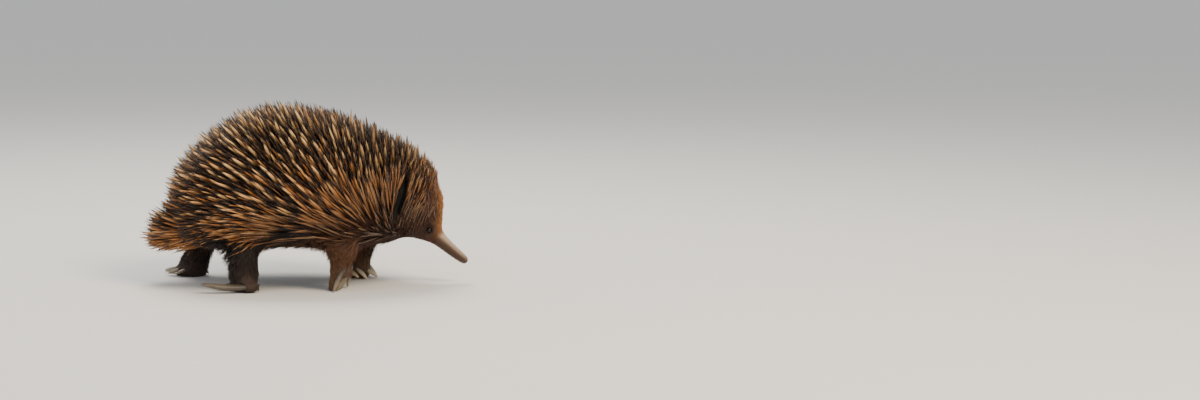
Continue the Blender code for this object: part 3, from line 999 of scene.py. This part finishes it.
class ECHIDNA_OT_skin(bpy.types.Operator):
    """Make one skin from the solids of flesh, sunk in by the depth of the coat"""

    bl_idname = "echidna.skin"
    bl_label = "Skin"
    bl_options = {"REGISTER", "UNDO"}

    def execute(self, context):
        settings = context.scene.echidna_skin
        skin = whole_outline(settings)
        outline = skin.data.copy()
        outline.name = OUTLINE_MESH
        outline.use_fake_user = True
        tree = search_tree(outline)
        sink_in(skin, tree, settings.steps, 6)
        remesh(skin, settings.voxel)
        sink_in(skin, tree, 1, 3)
        sink_in(skin, tree, 1, 2)
        refine(skin, lambda at: (at[:, 0] > FACE_FROM) & (at[:, 2] < FACE_TOP))
        refine(skin, lambda at: (at[:, 0] > BILL_FROM) & (at[:, 2] < BILL_TOP))
        refine(skin, lambda at: eye_distance(at) < LIDS_WITHIN)
        refine(skin, lambda at: at[:, 2] < FEET_TOP * (at[:, 0] < FEET_TO))
        move_to(skin.data, shape_ears(positions(skin.data)))
        shape_face(skin, settings)
        move_to(skin.data, lift_to_floor(positions(skin.data)))
        mark_skin(skin)
        smooth(skin)
        with editing(skin, "SELECT"):
            bpy.ops.uv.smart_project(angle_limit=math.radians(66), island_margin=0.002)
        finish_piece(skin, hide_material(), FLESH)
        return {"FINISHED"}


# Eyes and claws

CORNEA_BULGE = 0.1  # share of the eye's radius


class ECHIDNA_OT_eyes(bpy.types.Operator):
    """Make the two eyeballs with their bulging corneas"""

    bl_idname = "echidna.eyes"
    bl_label = "Eyes"
    bl_options = {"REGISTER", "UNDO"}

    def execute(self, context):
        material = eye_material()
        for side, sign in SIDES.items():
            centre, radius = eyeball(side)
            eye = new_ball(40, 24, radius)
            eye.name = eye.data.name = f"eyeball_{side}"
            points = positions(eye.data)
            off_axis = np.hypot(points[:, 0], points[:, 1]) / radius
            front = points[:, 2] > 0
            points[:, 2] += front * CORNEA_BULGE * radius * smooth_step(0.75, 0.2, off_axis)
            move_to(eye.data, points)
            store(eye.data, "rim", np.where(front, smooth_step(0.25, 0.5, off_axis), 1.0))
            outward = Vector((0.18, sign, 0.2)).normalized()
            eye.data.transform(Matrix.Translation(centre) @ turn_to(outward))
            smooth(eye)
            finish_piece(eye, material, [f"eye_{side}"])
        return {"FINISHED"}


# How pale each foot's claws turn towards the tip, from 0 to 1: worn horn, and on the far feet also painted
# sunlight
CLAW_WEAR_AND_SUNLIGHT = {"forefoot_right": 0.35, "forefoot_left": 1.0, "hindfoot_right": 0.14, "hindfoot_left": 0.4}


# A claw's half sizes against the solid's, the keel on its back and how much its tip is drawn in
CLAW_WIDTH = 1.12
CLAW_BACK = 1.12
CLAW_UNDERSIDE = 0.85
CLAW_KEEL = 0.35 * MM
CLAW_SHARPENING = 0.3


def shape_claw(shape):
    """Flattens a claw's underside, keels its back a little and sharpens its tip."""
    run, side, height = shape["run"], shape["side"], shape["height"]
    tip = 1 - CLAW_SHARPENING * smooth_step(0.7, 1.0, run) ** 2
    half = np.abs(side).max()
    keel = CLAW_KEEL * np.maximum(1 - np.abs(side) / half, 0) * (height > 0) * smooth_step(0.15, 0.4, run)
    flat = np.where(height < 0, CLAW_UNDERSIDE, CLAW_BACK)
    across = shape["across"] * (side * CLAW_WIDTH * tip)[:, None]
    above = shape["above"] * (height * flat * tip + keel * tip)[:, None]
    return shape["centre"] + across + above


class ECHIDNA_OT_claws(bpy.types.Operator):
    """Shape the twenty claws and give them worn horn, paler on the far feet as painted sunlight"""

    bl_idname = "echidna.claws"
    bl_label = "Claws"
    bl_options = {"REGISTER", "UNDO"}

    def execute(self, context):
        material = claw_material()
        for node in claw_nodes():
            claw = node_copy("horn_" + node, node)
            with editing(claw, "SELECT"):
                bpy.ops.mesh.tris_convert_to_quads()
            modify(claw, "SUBSURF", levels=2, render_levels=2)
            mesh = claw.data
            shape = claw_frame(node, positions(mesh))
            move_to(mesh, lift_to_floor(shape_claw(shape)))
            turn = np.arctan2(shape["height"], shape["side"]) / math.tau + 0.5
            store(mesh, "along", np.clip(shape["run"], 0, 1))
            store(mesh, "around", np.abs(turn * 2 - 1))
            store(mesh, "pale", np.full(len(turn), CLAW_WEAR_AND_SUNLIGHT[node.split("_claw")[0]]))
            smooth(claw)
            finish_piece(claw, material, [node])
        return {"FINISHED"}


# Quills and fur

def spike(name, sides, profile):
    """One closed spike a unit long, extruded ring by ring from a flat root to a point."""
    deselect_all()
    bpy.ops.mesh.primitive_circle_add(
        vertices=sides, radius=profile[0][1], fill_type="NGON", location=(0, 0, 0)
    )
    obj = bpy.context.active_object
    obj.name = name
    with editing(obj):
        bpy.ops.mesh.select_mode(type="FACE")
        bpy.ops.mesh.select_all(action="SELECT")
        for (start, width), (end, next_width) in zip(profile, profile[1:]):
            bpy.ops.mesh.extrude_region_move(TRANSFORM_OT_translate={"value": (0, 0, end - start)})
            share = max(next_width / width, 1e-4)
            bpy.ops.transform.resize(value=(share, share, 1))
        bpy.ops.mesh.merge(type="CENTER")
        bpy.ops.mesh.select_all(action="SELECT")
        bpy.ops.mesh.normals_make_consistent(inside=False)
        bpy.ops.mesh.quads_convert_to_tris()
    return obj


def taken_arrays(template):
    """A template's points and triangles; the template itself is then removed."""
    mesh = template.data
    mesh.calc_loop_triangles()
    corners = read(mesh.loop_triangles, "vertices", 3, int)
    points = positions(mesh)
    bpy.data.objects.remove(template)
    return points, corners


ROOT_TRIES = 3.2  # roots tried for each place that could hold one
LEAST_CHANCE = 0.05  # share of the tufts at which their spacing stops growing


class SkinSurface:
    """The skin's triangles, for picking roots and finding how far the coat reaches."""

    def __init__(self, skin):
        mesh = skin.data
        mesh.calc_loop_triangles()
        self.points = positions(mesh)
        self.normals = read(mesh.vertex_normals, "vector", 3)
        self.corners = read(mesh.loop_triangles, "vertices", 3, int)
        loops = read(mesh.loop_triangles, "loops", 3, int)
        self.places = read(mesh.uv_layers.active.data, "uv", 2)[loops]
        a, b, c = (self.points[self.corners[:, i]] for i in range(3))
        self.areas = np.linalg.norm(np.cross(b - a, c - a), axis=1) / 2

    def roots(self, spacing, wanted, seed):
        """Evenly strewn roots, as close as spacing says where wanted is 1, and none where it is 0."""
        random = np.random.default_rng(seed)
        middles = self.points[self.corners].mean(1)
        chance = wanted(middles)
        weight = self.areas * chance
        tries = int(weight.sum() / spacing ** 2 * ROOT_TRIES)
        chosen = random.choice(len(weight), size=tries, p=weight / weight.sum())
        split = np.sort(random.random((tries, 2)), axis=1)
        shares = np.column_stack((split[:, 0], split[:, 1] - split[:, 0], 1 - split[:, 1]))
        at = (self.points[self.corners[chosen]] * shares[:, :, None]).sum(1)
        kept = strewn(at, spacing / np.sqrt(np.clip(chance[chosen], LEAST_CHANCE, 1)))
        chosen, shares = chosen[kept], shares[kept]
        return {
            "at": at[kept],
            "normal": unit((self.normals[self.corners[chosen]] * shares[:, :, None]).sum(1)),
            "place": (self.places[chosen] * shares[:, :, None]).sum(1),
        }


def strewn(points, spacing):
    """Indices of points that stand at least their own spacing from the ones taken before them."""
    cell = float(spacing.max())
    keys = np.floor(points / cell).astype(int)
    taken = {}
    kept = []
    around = [(i, j, k) for i in (-1, 0, 1) for j in (-1, 0, 1) for k in (-1, 0, 1)]
    for index, (key, point, apart) in enumerate(zip(map(tuple, keys), points.tolist(), spacing.tolist())):
        near = (other for i, j, k in around for other in taken.get((key[0] + i, key[1] + j, key[2] + k), ()))
        x, y, z = point
        limit = apart * apart
        if all((x - o[0]) ** 2 + (y - o[1]) ** 2 + (z - o[2]) ** 2 >= limit for o in near):
            taken.setdefault(key, []).append(point)
            kept.append(index)
    return np.array(kept, int)


LEAST_LIFT = 0.6  # share of the coat's lift that every tuft keeps


def headings(normal, coat, jitter, random):
    """Which way each tuft points.

    It has the coat's lie seen from the side, is tilted out by the lift and stays clear of the skin.
    """
    lift = coat["lift"]
    way = np.column_stack((np.cos(coat["lie"]), np.tan(lift) * normal[:, 1], np.sin(coat["lie"])))
    way = unit(way + random.normal(0, jitter, way.shape))
    least = np.sin(lift * LEAST_LIFT)
    short = np.maximum(least - (way * normal).sum(1), 0)
    return unit(way + normal * short[:, None])


RAY_START = 1e-4  # clear of the skin, so that a ray doesn't meet an outline that lies on it


def planted(surface, outline, spacing, wanted, jitter, longest, random, seed):
    """Tufts with their roots and ways, the coat there, and how far each root is from the coat's outline."""
    tufts = surface.roots(spacing, wanted, seed)
    coat = coat_at(tufts["at"])
    tufts["way"] = headings(tufts["normal"], coat, jitter, random)
    far = np.empty(len(tufts["way"]))
    for index, (start, way) in enumerate(zip(tufts["at"], tufts["way"])):
        distance = outline.ray_cast(Vector(start + way * RAY_START), Vector(way), longest)[3]
        far[index] = longest if distance is None else distance
    return tufts, coat, far


ROOT_DEPTH = 0.5 * MM  # how far a tuft is set into the skin
LEAST_HEIGHT = 0.2 * MM  # of a tuft's points over the floor


def placed_points(shape, tufts):
    """Points of tufts set in the skin, turned to their ways, and drooping more towards their tips."""
    way = tufts["way"]
    side = unit(np.cross(way, tufts["normal"]) + 1e-9)
    above = np.cross(side, way)
    cos, sin = np.cos(tufts["roll"])[:, None], np.sin(tufts["roll"])[:, None]
    x, y, z = (shape[:, :, axis] for axis in range(3))
    long = tufts["length"][:, None]
    wide = tufts["width"][:, None]
    sideways = (x * cos - y * sin) * wide
    upward = (x * sin + y * cos) * wide - np.clip(z, 0, 1) ** 2 * long * tufts["droop"][:, None]
    placed = (tufts["at"] - tufts["normal"] * ROOT_DEPTH)[:, None, :]
    for share, direction in ((sideways, side), (upward, above), (z * long, way)):
        placed = placed + share[:, :, None] * direction[:, None, :]
    placed[:, :, 2] = np.maximum(placed[:, :, 2], LEAST_HEIGHT)
    return placed


def grow(name, shapes, tufts, material, random):
    """Copies one of a few shapes to every root, in pieces small enough to keep."""
    variants, corners, strand_tone = shapes
    count = len(tufts["at"])
    tufts["roll"] = random.uniform(0, math.tau, count)
    choice = random.integers(0, len(variants), count)
    order = np.argsort(tufts["at"][:, 0])
    pieces = math.ceil(count * len(corners) / PIECE_TRIANGLES)
    for number, group in enumerate(np.array_split(order, pieces), start=1):
        some = {key: values[group] for key, values in tufts.items()}
        shape = variants[choice[group]]
        size = shape.shape[1]
        faces = corners[None, :, :] + (np.arange(len(group)) * size)[:, None, None]
        piece_name = name if pieces == 1 else f"{name}_{number}"
        obj = triangle_object(piece_name, placed_points(shape, some).reshape(-1, 3), faces.reshape(-1, 3))
        store(obj.data, "along", np.clip(shape[:, :, 2], 0, 1))
        store(obj.data, "tone", np.clip(some["tone"][:, None] + strand_tone[None, :], 0, 1))
        store_marking(obj.data, np.repeat(some["colour"], size, axis=0))
        lay_bake_map(obj.data, shape, corners, some["place"])
        finish_piece(obj, material)


def triangle_object(name, points, faces):
    mesh = bpy.data.meshes.new(name)
    mesh.vertices.add(len(points))
    mesh.vertices.foreach_set("co", np.ascontiguousarray(points, np.float32).ravel())
    mesh.loops.add(faces.size)
    mesh.loops.foreach_set("vertex_index", np.ascontiguousarray(faces, np.int32).ravel())
    mesh.polygons.add(len(faces))
    mesh.polygons.foreach_set("loop_start", np.arange(len(faces), dtype=np.int32) * 3)
    mesh.update(calc_edges=True)
    mesh.polygons.foreach_set("use_smooth", np.ones(len(faces), bool))
    return new_object(name, mesh)


def lay_bake_map(mesh, shape, corners, places):
    """Lays each tuft as a small patch at its root's place on the skin's unwrap."""
    turn = np.arctan2(shape[:, :, 1], shape[:, :, 0]) / math.tau
    within = np.stack((turn, np.clip(shape[:, :, 2], 0, 1) - 0.5), axis=2)
    inside = np.clip(places, BAKE_PATCH, 1 - BAKE_PATCH)
    laid = inside[:, None, :] + within[:, corners.ravel(), :] * BAKE_PATCH
    layer = mesh.uv_layers.new(name="OFBake")
    layer.data.foreach_set("uv", np.ascontiguousarray(laid, np.float32).ravel())


# Profiles of one quill or strand: shares of its length, and of its half thickness there
STOUT_QUILL = ((0, 0.6), (0.2, 0.9), (0.45, 1.0), (0.7, 0.72), (0.88, 0.34), (1, 0.02))
SLIM_QUILL = ((0, 0.7), (0.25, 1.0), (0.65, 0.75), (1, 0.02))
LONG_STRAND = ((0, 1.0), (0.35, 0.9), (0.7, 0.6), (1, 0.02))
SHORT_STRAND = ((0, 1.0), (0.5, 0.8), (1, 0.02))


def quilled(points):
    """Where quills grow: 1 on the back and flanks, 0 on the face, belly and legs."""
    return smooth_step(0.3, 0.8, coat_at(points)["quills"]) * outside_ears(points)


def stoutly_quilled(points):
    """Where the quills are long enough to be stout."""
    return quilled(points) * step_mm(8, 15, coat_at(points)["depth"])


def bristled(points):
    """Where short stiff bristles take the place of quills: the cheeks and round the ears."""
    coat = coat_at(points)
    shallow = 1 - step_mm(12, 19, coat["depth"])
    return smooth_step(0.1, 0.5, coat["quills"]) * shallow * outside_ears(points)


def clear_of_ears(tufts, lengths):
    """Shortens whatever would lie across an ear's slit."""
    for share in (1.0, 0.6):
        crossing = 1 - outside_ears(tufts["at"] + tufts["way"] * (lengths * share)[:, None])
        lengths = lengths * (1 - 0.5 * crossing)
    return lengths


def clear_of_claws(claws, tufts, lengths):
    """Shortens the fur that would hide a claw."""
    for share in (1.0, 0.6, 0.3):
        near = claw_distance(claws, tufts["at"] + tufts["way"] * (lengths * share)[:, None])
        lengths = lengths * (0.35 + 0.65 * step_mm(0.5, 3, near))
    return lengths


# Shares of painted light: sheen on the back's tan quills, and shade by the head and low on the front half
TOP_SHEEN_SHARE = 0.75
HEAD_SHADE = 0.5
LOW_SHADE = 0.7


def quill_colours(colours, at, blend, random):
    """Body colours: dark for a low blend, tan for a middling one and pale for a high one.

    Tan turns grey-brown up the back as a painted sheen, and painted shade makes all of them deeper on the
    head and low on the front half.
    """
    pale, tan, top_sheen, dark = (
        np.array(tuple(getattr(colours, f"quill_{name}"))) for name in ("pale", "tan", "top_sheen", "dark")
    )
    height = step_mm(60, 150, at[:, 2])
    # Painted sheen: tan quills turn grey-brown high on the back.
    back = step_mm(100, 190, at[:, 2])[:, None]
    tan = mix(tan, top_sheen, TOP_SHEEN_SHARE * back)
    wander = random.normal(0, 0.1, len(at))
    # Pale quills are paler higher up, a painted highlight of the sun on the back.
    light = np.clip((blend - 0.5) * 2 * (0.55 + 0.45 * height) + wander, 0, 1)[:, None]
    gloom = np.clip(1 - blend * 1.8 + wander, 0, 1)[:, None]
    # Painted shade: every quill is darker lower down, behind the head and low on the front half.
    head = HEAD_SHADE * step_mm(25, 90, at[:, 0])
    low = LOW_SHADE * step_mm(-80, -10, at[:, 0]) * step_mm(110, 60, at[:, 2])
    shaded = (0.8 + 0.2 * height) * (1 - head) * (1 - low)
    return mix(mix(tan, pale, light) * shaded[:, None], dark, gloom)


# Each kind of quill: sides, profile, its settings, reach to the outline, blend of colour, where and seed
QUILL_KINDS = (
    ("quills_pale", 6, STOUT_QUILL, "pale", (0.85, 1.16), (0.6, 1.0), stoutly_quilled, 11),
    ("quills_brown", 5, STOUT_QUILL, "brown", (0.7, 0.98), (0.05, 0.55), stoutly_quilled, 12),
    ("quills_dark", 4, SLIM_QUILL, "dark", (0.66, 1.04), (0.0, 0.16), quilled, 13),
    ("bristles", 4, SLIM_QUILL, "bristle", (0.8, 1.25), (0.3, 0.8), bristled, 14),
)
QUILL_JITTER = 0.07  # spread of the quills' ways
QUILL_SIZE = (0.4, 1.1)  # least and most share of the thickness, by the length
QUILL_SPREAD = (0.75, 1.15)  # of each quill's own thickness
QUILL_DROOP = (0.01, 0.035)  # mean and spread of the tips' sag, as shares of the length
SHORTEST_QUILL = 7 * MM


class ECHIDNA_OT_quills(bpy.types.Operator):
    """Plant the pale, brown and dark quills and the bristles, out to the outline of the coat"""

    bl_idname = "echidna.quills"
    bl_label = "Quills"
    bl_options = {"REGISTER", "UNDO"}

    def execute(self, context):
        settings = context.scene.echidna_quills
        colours = context.scene.echidna_colours
        longest = settings.longest
        surface = SkinSurface(bpy.data.objects["skin"])
        outline = search_tree(bpy.data.meshes[OUTLINE_MESH])
        look = quill_material("quill_keratin", tuple(colours.quill_tip), 0.3)
        for name, sides, profile, kind, reach, blend, wanted, seed in QUILL_KINDS:
            random = np.random.default_rng(seed)
            spacing, width = (getattr(settings, f"{kind}_{measure}") for measure in ("spacing", "width"))
            tufts, _, far = planted(surface, outline, spacing, wanted, QUILL_JITTER, longest, random, seed)
            count = len(far)
            lengths = np.clip(far * random.uniform(*reach, count), SHORTEST_QUILL, longest)
            tufts["length"] = clear_of_ears(tufts, lengths)
            size = np.clip(tufts["length"] / (longest / 2), *QUILL_SIZE)
            tufts["width"] = width / 2 * size * random.uniform(*QUILL_SPREAD, count)
            tufts["droop"] = random.normal(*QUILL_DROOP, count)
            tufts["colour"] = quill_colours(colours, tufts["at"], random.uniform(*blend, count), random)
            tufts["tone"] = random.random(count)
            grow(name, quill_shapes(name, sides, profile), tufts, look, random)
        return {"FINISHED"}


def quill_shapes(name, sides, profile):
    """One shape for every quill, with no tones of its own."""
    points, corners = taken_arrays(spike(name, sides, profile))
    return points[None, :, :], corners, np.zeros(len(points))


# The tufts: how many shapes, how many strands in one, and how unlike each other its strands are
TUFTS = 4
STRANDS = 5
STRAND_TURN = 0.3  # share of the even angle between strands
STRAND_LEAN = (0.3, 1.0)  # shares of the splay
STRAND_APART = (0.8, 3.0)  # half thicknesses from the middle of the tuft
STRAND_LENGTH = (0.65, 1.0)
STRAND_TONE = 0.25


def tuft_shapes(name, profile, splay, seed):
    """A few tufts of strands that share a root and lean away from each other."""
    random = np.random.default_rng(seed)
    points, corners = taken_arrays(spike(name, 3, profile))
    variants = []
    for _ in range(TUFTS):
        tuft = []
        for number in range(STRANDS):
            turn = math.tau * (number + random.uniform(-STRAND_TURN, STRAND_TURN)) / STRANDS
            lean = splay * random.uniform(*STRAND_LEAN)
            apart = random.uniform(*STRAND_APART)
            strand = points.copy()
            strand[:, 2] *= random.uniform(*STRAND_LENGTH)
            off_axis = apart + lean * strand[:, 2] ** 1.4
            strand[:, 0] += math.cos(turn) * off_axis
            strand[:, 1] += math.sin(turn) * off_axis
            tuft.append(strand)
        variants.append(np.concatenate(tuft))
    faces = np.concatenate([corners + number * len(points) for number in range(STRANDS)])
    tones = np.repeat(random.uniform(-STRAND_TONE, STRAND_TONE, STRANDS), len(points))
    return np.array(variants), faces, tones


def furred_among_quills(points):
    """Where long fur stands between the quills."""
    return smooth_step(0.2, 0.6, coat_at(points)["quills"]) * outside_ears(points)


def furred_long(points):
    """Long fur where there are few quills: the belly, chest, throat and upper legs."""
    coat = coat_at(points)
    unquilled = 1 - smooth_step(0.5, 0.9, coat["quills"])
    return unquilled * step_mm(8, 11, coat["fur"]) * outside_ears(points)


def furred_face(points):
    """The fine fur in front of the ears, down to the bill."""
    fur = coat_at(points)["fur"]
    face = step_mm(128, 140, points[:, 0]) * step_mm(0.3, 1, fur)
    off_lids = step_mm(4.6, 6.5, eye_distance(points))
    return face * (1 - step_mm(9.5, 12, fur)) * (1 - bareness(points)) * off_lids


def furred_short(points):
    """Short fur of the lower legs and feet."""
    fur = coat_at(points)["fur"]
    short = step_mm(0.8, 2.5, fur) * (1 - step_mm(10, 12.5, fur))
    return short * outside_ears(points) * step_mm(136, 128, points[:, 0])


# Each kind of fur: profile, splay of its strands, its spacing, where, share of its full length and seed
FUR_KINDS = (
    ("fur_between_quills", LONG_STRAND, 7, "under_spacing", furred_among_quills, (0.6, 1.2), 21),
    ("fur_long", LONG_STRAND, 7, "body_spacing", furred_long, (0.75, 1.25), 22),
    ("fur_short", SHORT_STRAND, 4, "foot_spacing", furred_short, (0.7, 1.2), 23),
    ("fur_face", SHORT_STRAND, 5, "face_spacing", furred_face, (0.7, 1.2), 24),
)
FUR_JITTER = 0.1  # spread of the tufts' ways
FUR_REACH = (0.7, 1.3)  # least and most share of the coat's fur length, to meet the outline
FUR_SIZE = (0.45, 1.1)  # least and most share of the thickness, by the length
FUR_DROOP = (-0.05, 0.18)  # of the tips, as shares of the length
FUR_TONE = (0.2, 0.8)
LONGEST_FUR = 60 * MM
FULL_WIDTH_AT = 14 * MM  # a strand of this length has the full hair width


class ECHIDNA_OT_fur(bpy.types.Operator):
    """Plant the fur: between the quills, on the belly and legs, and short on the face and feet"""

    bl_idname = "echidna.fur"
    bl_label = "Fur"
    bl_options = {"REGISTER", "UNDO"}

    def execute(self, context):
        settings = context.scene.echidna_fur
        surface = SkinSurface(bpy.data.objects["skin"])
        outline = search_tree(bpy.data.meshes[OUTLINE_MESH])
        claws = claw_tree()
        look = strand_material("fur_keratin", 0.5)
        for name, profile, splay, kind, wanted, reach, seed in FUR_KINDS:
            random = np.random.default_rng(seed)
            tufts, coat, far = planted(
                surface, outline, getattr(settings, kind), wanted, FUR_JITTER, LONGEST_FUR, random, seed
            )
            count = len(far)
            least, most = (coat["fur"] * share for share in FUR_REACH)
            lengths = np.clip(far, least, most) * random.uniform(*reach, count)
            tufts["length"] = clear_of_claws(claws, tufts, clear_of_ears(tufts, lengths))
            size = np.clip(tufts["length"] / FULL_WIDTH_AT, *FUR_SIZE)
            tufts["width"] = settings.hair_width / 2 * size
            tufts["droop"] = random.uniform(*FUR_DROOP, count)
            tufts["tone"] = random.uniform(*FUR_TONE, count)
            tufts["colour"] = coat["colour"]
            grow(name, tuft_shapes(name, profile, splay, seed), tufts, look, random)
        return {"FINISHED"}


# The stage

SKY_COLOUR = (0.92, 0.95, 1.0, 1)
SKY_STRENGTH = 0.72
FLOOR_RADIUS = 60  # metres, so that its edge stays out of sight
LAMP_AIM = Vector((0, 0, 0.1))
CAMERA_AIM = Vector((-6, 0, 100.8)) * MM


class ECHIDNA_OT_stage(bpy.types.Operator):
    """Lay the floor and set the lights and the camera"""

    bl_idname = "echidna.stage"
    bl_label = "Stage"
    bl_options = {"REGISTER", "UNDO"}

    def execute(self, context):
        settings = context.scene.echidna_stage
        deselect_all()
        bpy.ops.mesh.primitive_circle_add(
            vertices=96, radius=FLOOR_RADIUS, fill_type="NGON", location=(0, 0, 0)
        )
        floor = context.active_object
        floor.name = "studio_floor"
        floor.data.materials.append(floor_material())
        world = bpy.data.worlds.new("studio_world")
        world.use_nodes = True
        background = world.node_tree.nodes["Background"]
        background.inputs["Color"].default_value = SKY_COLOUR
        background.inputs["Strength"].default_value = SKY_STRENGTH
        context.scene.world = world
        lamps = (
            ("key_light", (1.3, -1.5, 1.9), 1.1, settings.key, (1.0, 0.84, 0.63)),
            ("fill_light", (-1.8, -1.6, 1.2), 1.8, settings.fill, (0.85, 0.92, 1.0)),
            ("top_light", (-0.2, 0.9, 2.2), 1.2, settings.top, (1.0, 0.95, 0.88)),
        )
        for name, place, size, power, colour in lamps:
            lamp = bpy.data.lights.new(name, "AREA")
            lamp.size = size
            lamp.energy = power
            lamp.color = colour
            obj = new_object(name, lamp)
            obj.location = place
            obj.rotation_euler = (LAMP_AIM - Vector(place)).to_track_quat("-Z", "Y").to_euler()
        self.aim_camera(context, settings)
        return {"FINISHED"}

    def aim_camera(self, context, settings):
        back = Vector((0, -math.cos(settings.elevation), math.sin(settings.elevation)))
        data = bpy.data.cameras.new("camera")
        data.lens = settings.lens
        data.sensor_width = 36
        data.shift_x = settings.shift
        data.clip_end = 200
        camera = new_object("camera", data)
        camera.location = CAMERA_AIM + back * settings.distance
        camera.rotation_euler = (-back).to_track_quat("-Z", "Y").to_euler()
        context.scene.camera = camera


OPERATORS = (
    ECHIDNA_OT_skin,
    ECHIDNA_OT_eyes,
    ECHIDNA_OT_claws,
    ECHIDNA_OT_quills,
    ECHIDNA_OT_fur,
    ECHIDNA_OT_stage,
)


class ECHIDNA_PT_panel(bpy.types.Panel):
    """Lists the echidna's pieces in the order they are made"""

    bl_label = "Echidna"
    bl_idname = "ECHIDNA_PT_panel"
    bl_space_type = "VIEW_3D"
    bl_region_type = "UI"
    bl_category = "Echidna"

    def draw(self, context):
        for operator in OPERATORS:
            self.layout.operator(operator.bl_idname)
        for name in SETTINGS:
            box = self.layout.box()
            for key in getattr(context.scene, name).bl_rna.properties.keys():
                if key not in ("rna_type", "name"):
                    box.prop(getattr(context.scene, name), key)


def register():
    for name, group in SETTINGS.items():
        bpy.utils.register_class(group)
        setattr(bpy.types.Scene, name, PointerProperty(type=group))
    for cls in (*OPERATORS, ECHIDNA_PT_panel):
        bpy.utils.register_class(cls)


def unregister():
    for cls in reversed((*OPERATORS, ECHIDNA_PT_panel)):
        bpy.utils.unregister_class(cls)
    for name, group in SETTINGS.items():
        delattr(bpy.types.Scene, name)
        bpy.utils.unregister_class(group)


def main():
    register()
    bpy.ops.echidna.skin()
    bpy.ops.echidna.eyes()
    bpy.ops.echidna.claws()
    bpy.ops.echidna.quills()
    bpy.ops.echidna.fur()
    bpy.ops.echidna.stage()


if __name__ == "__main__":
    main()
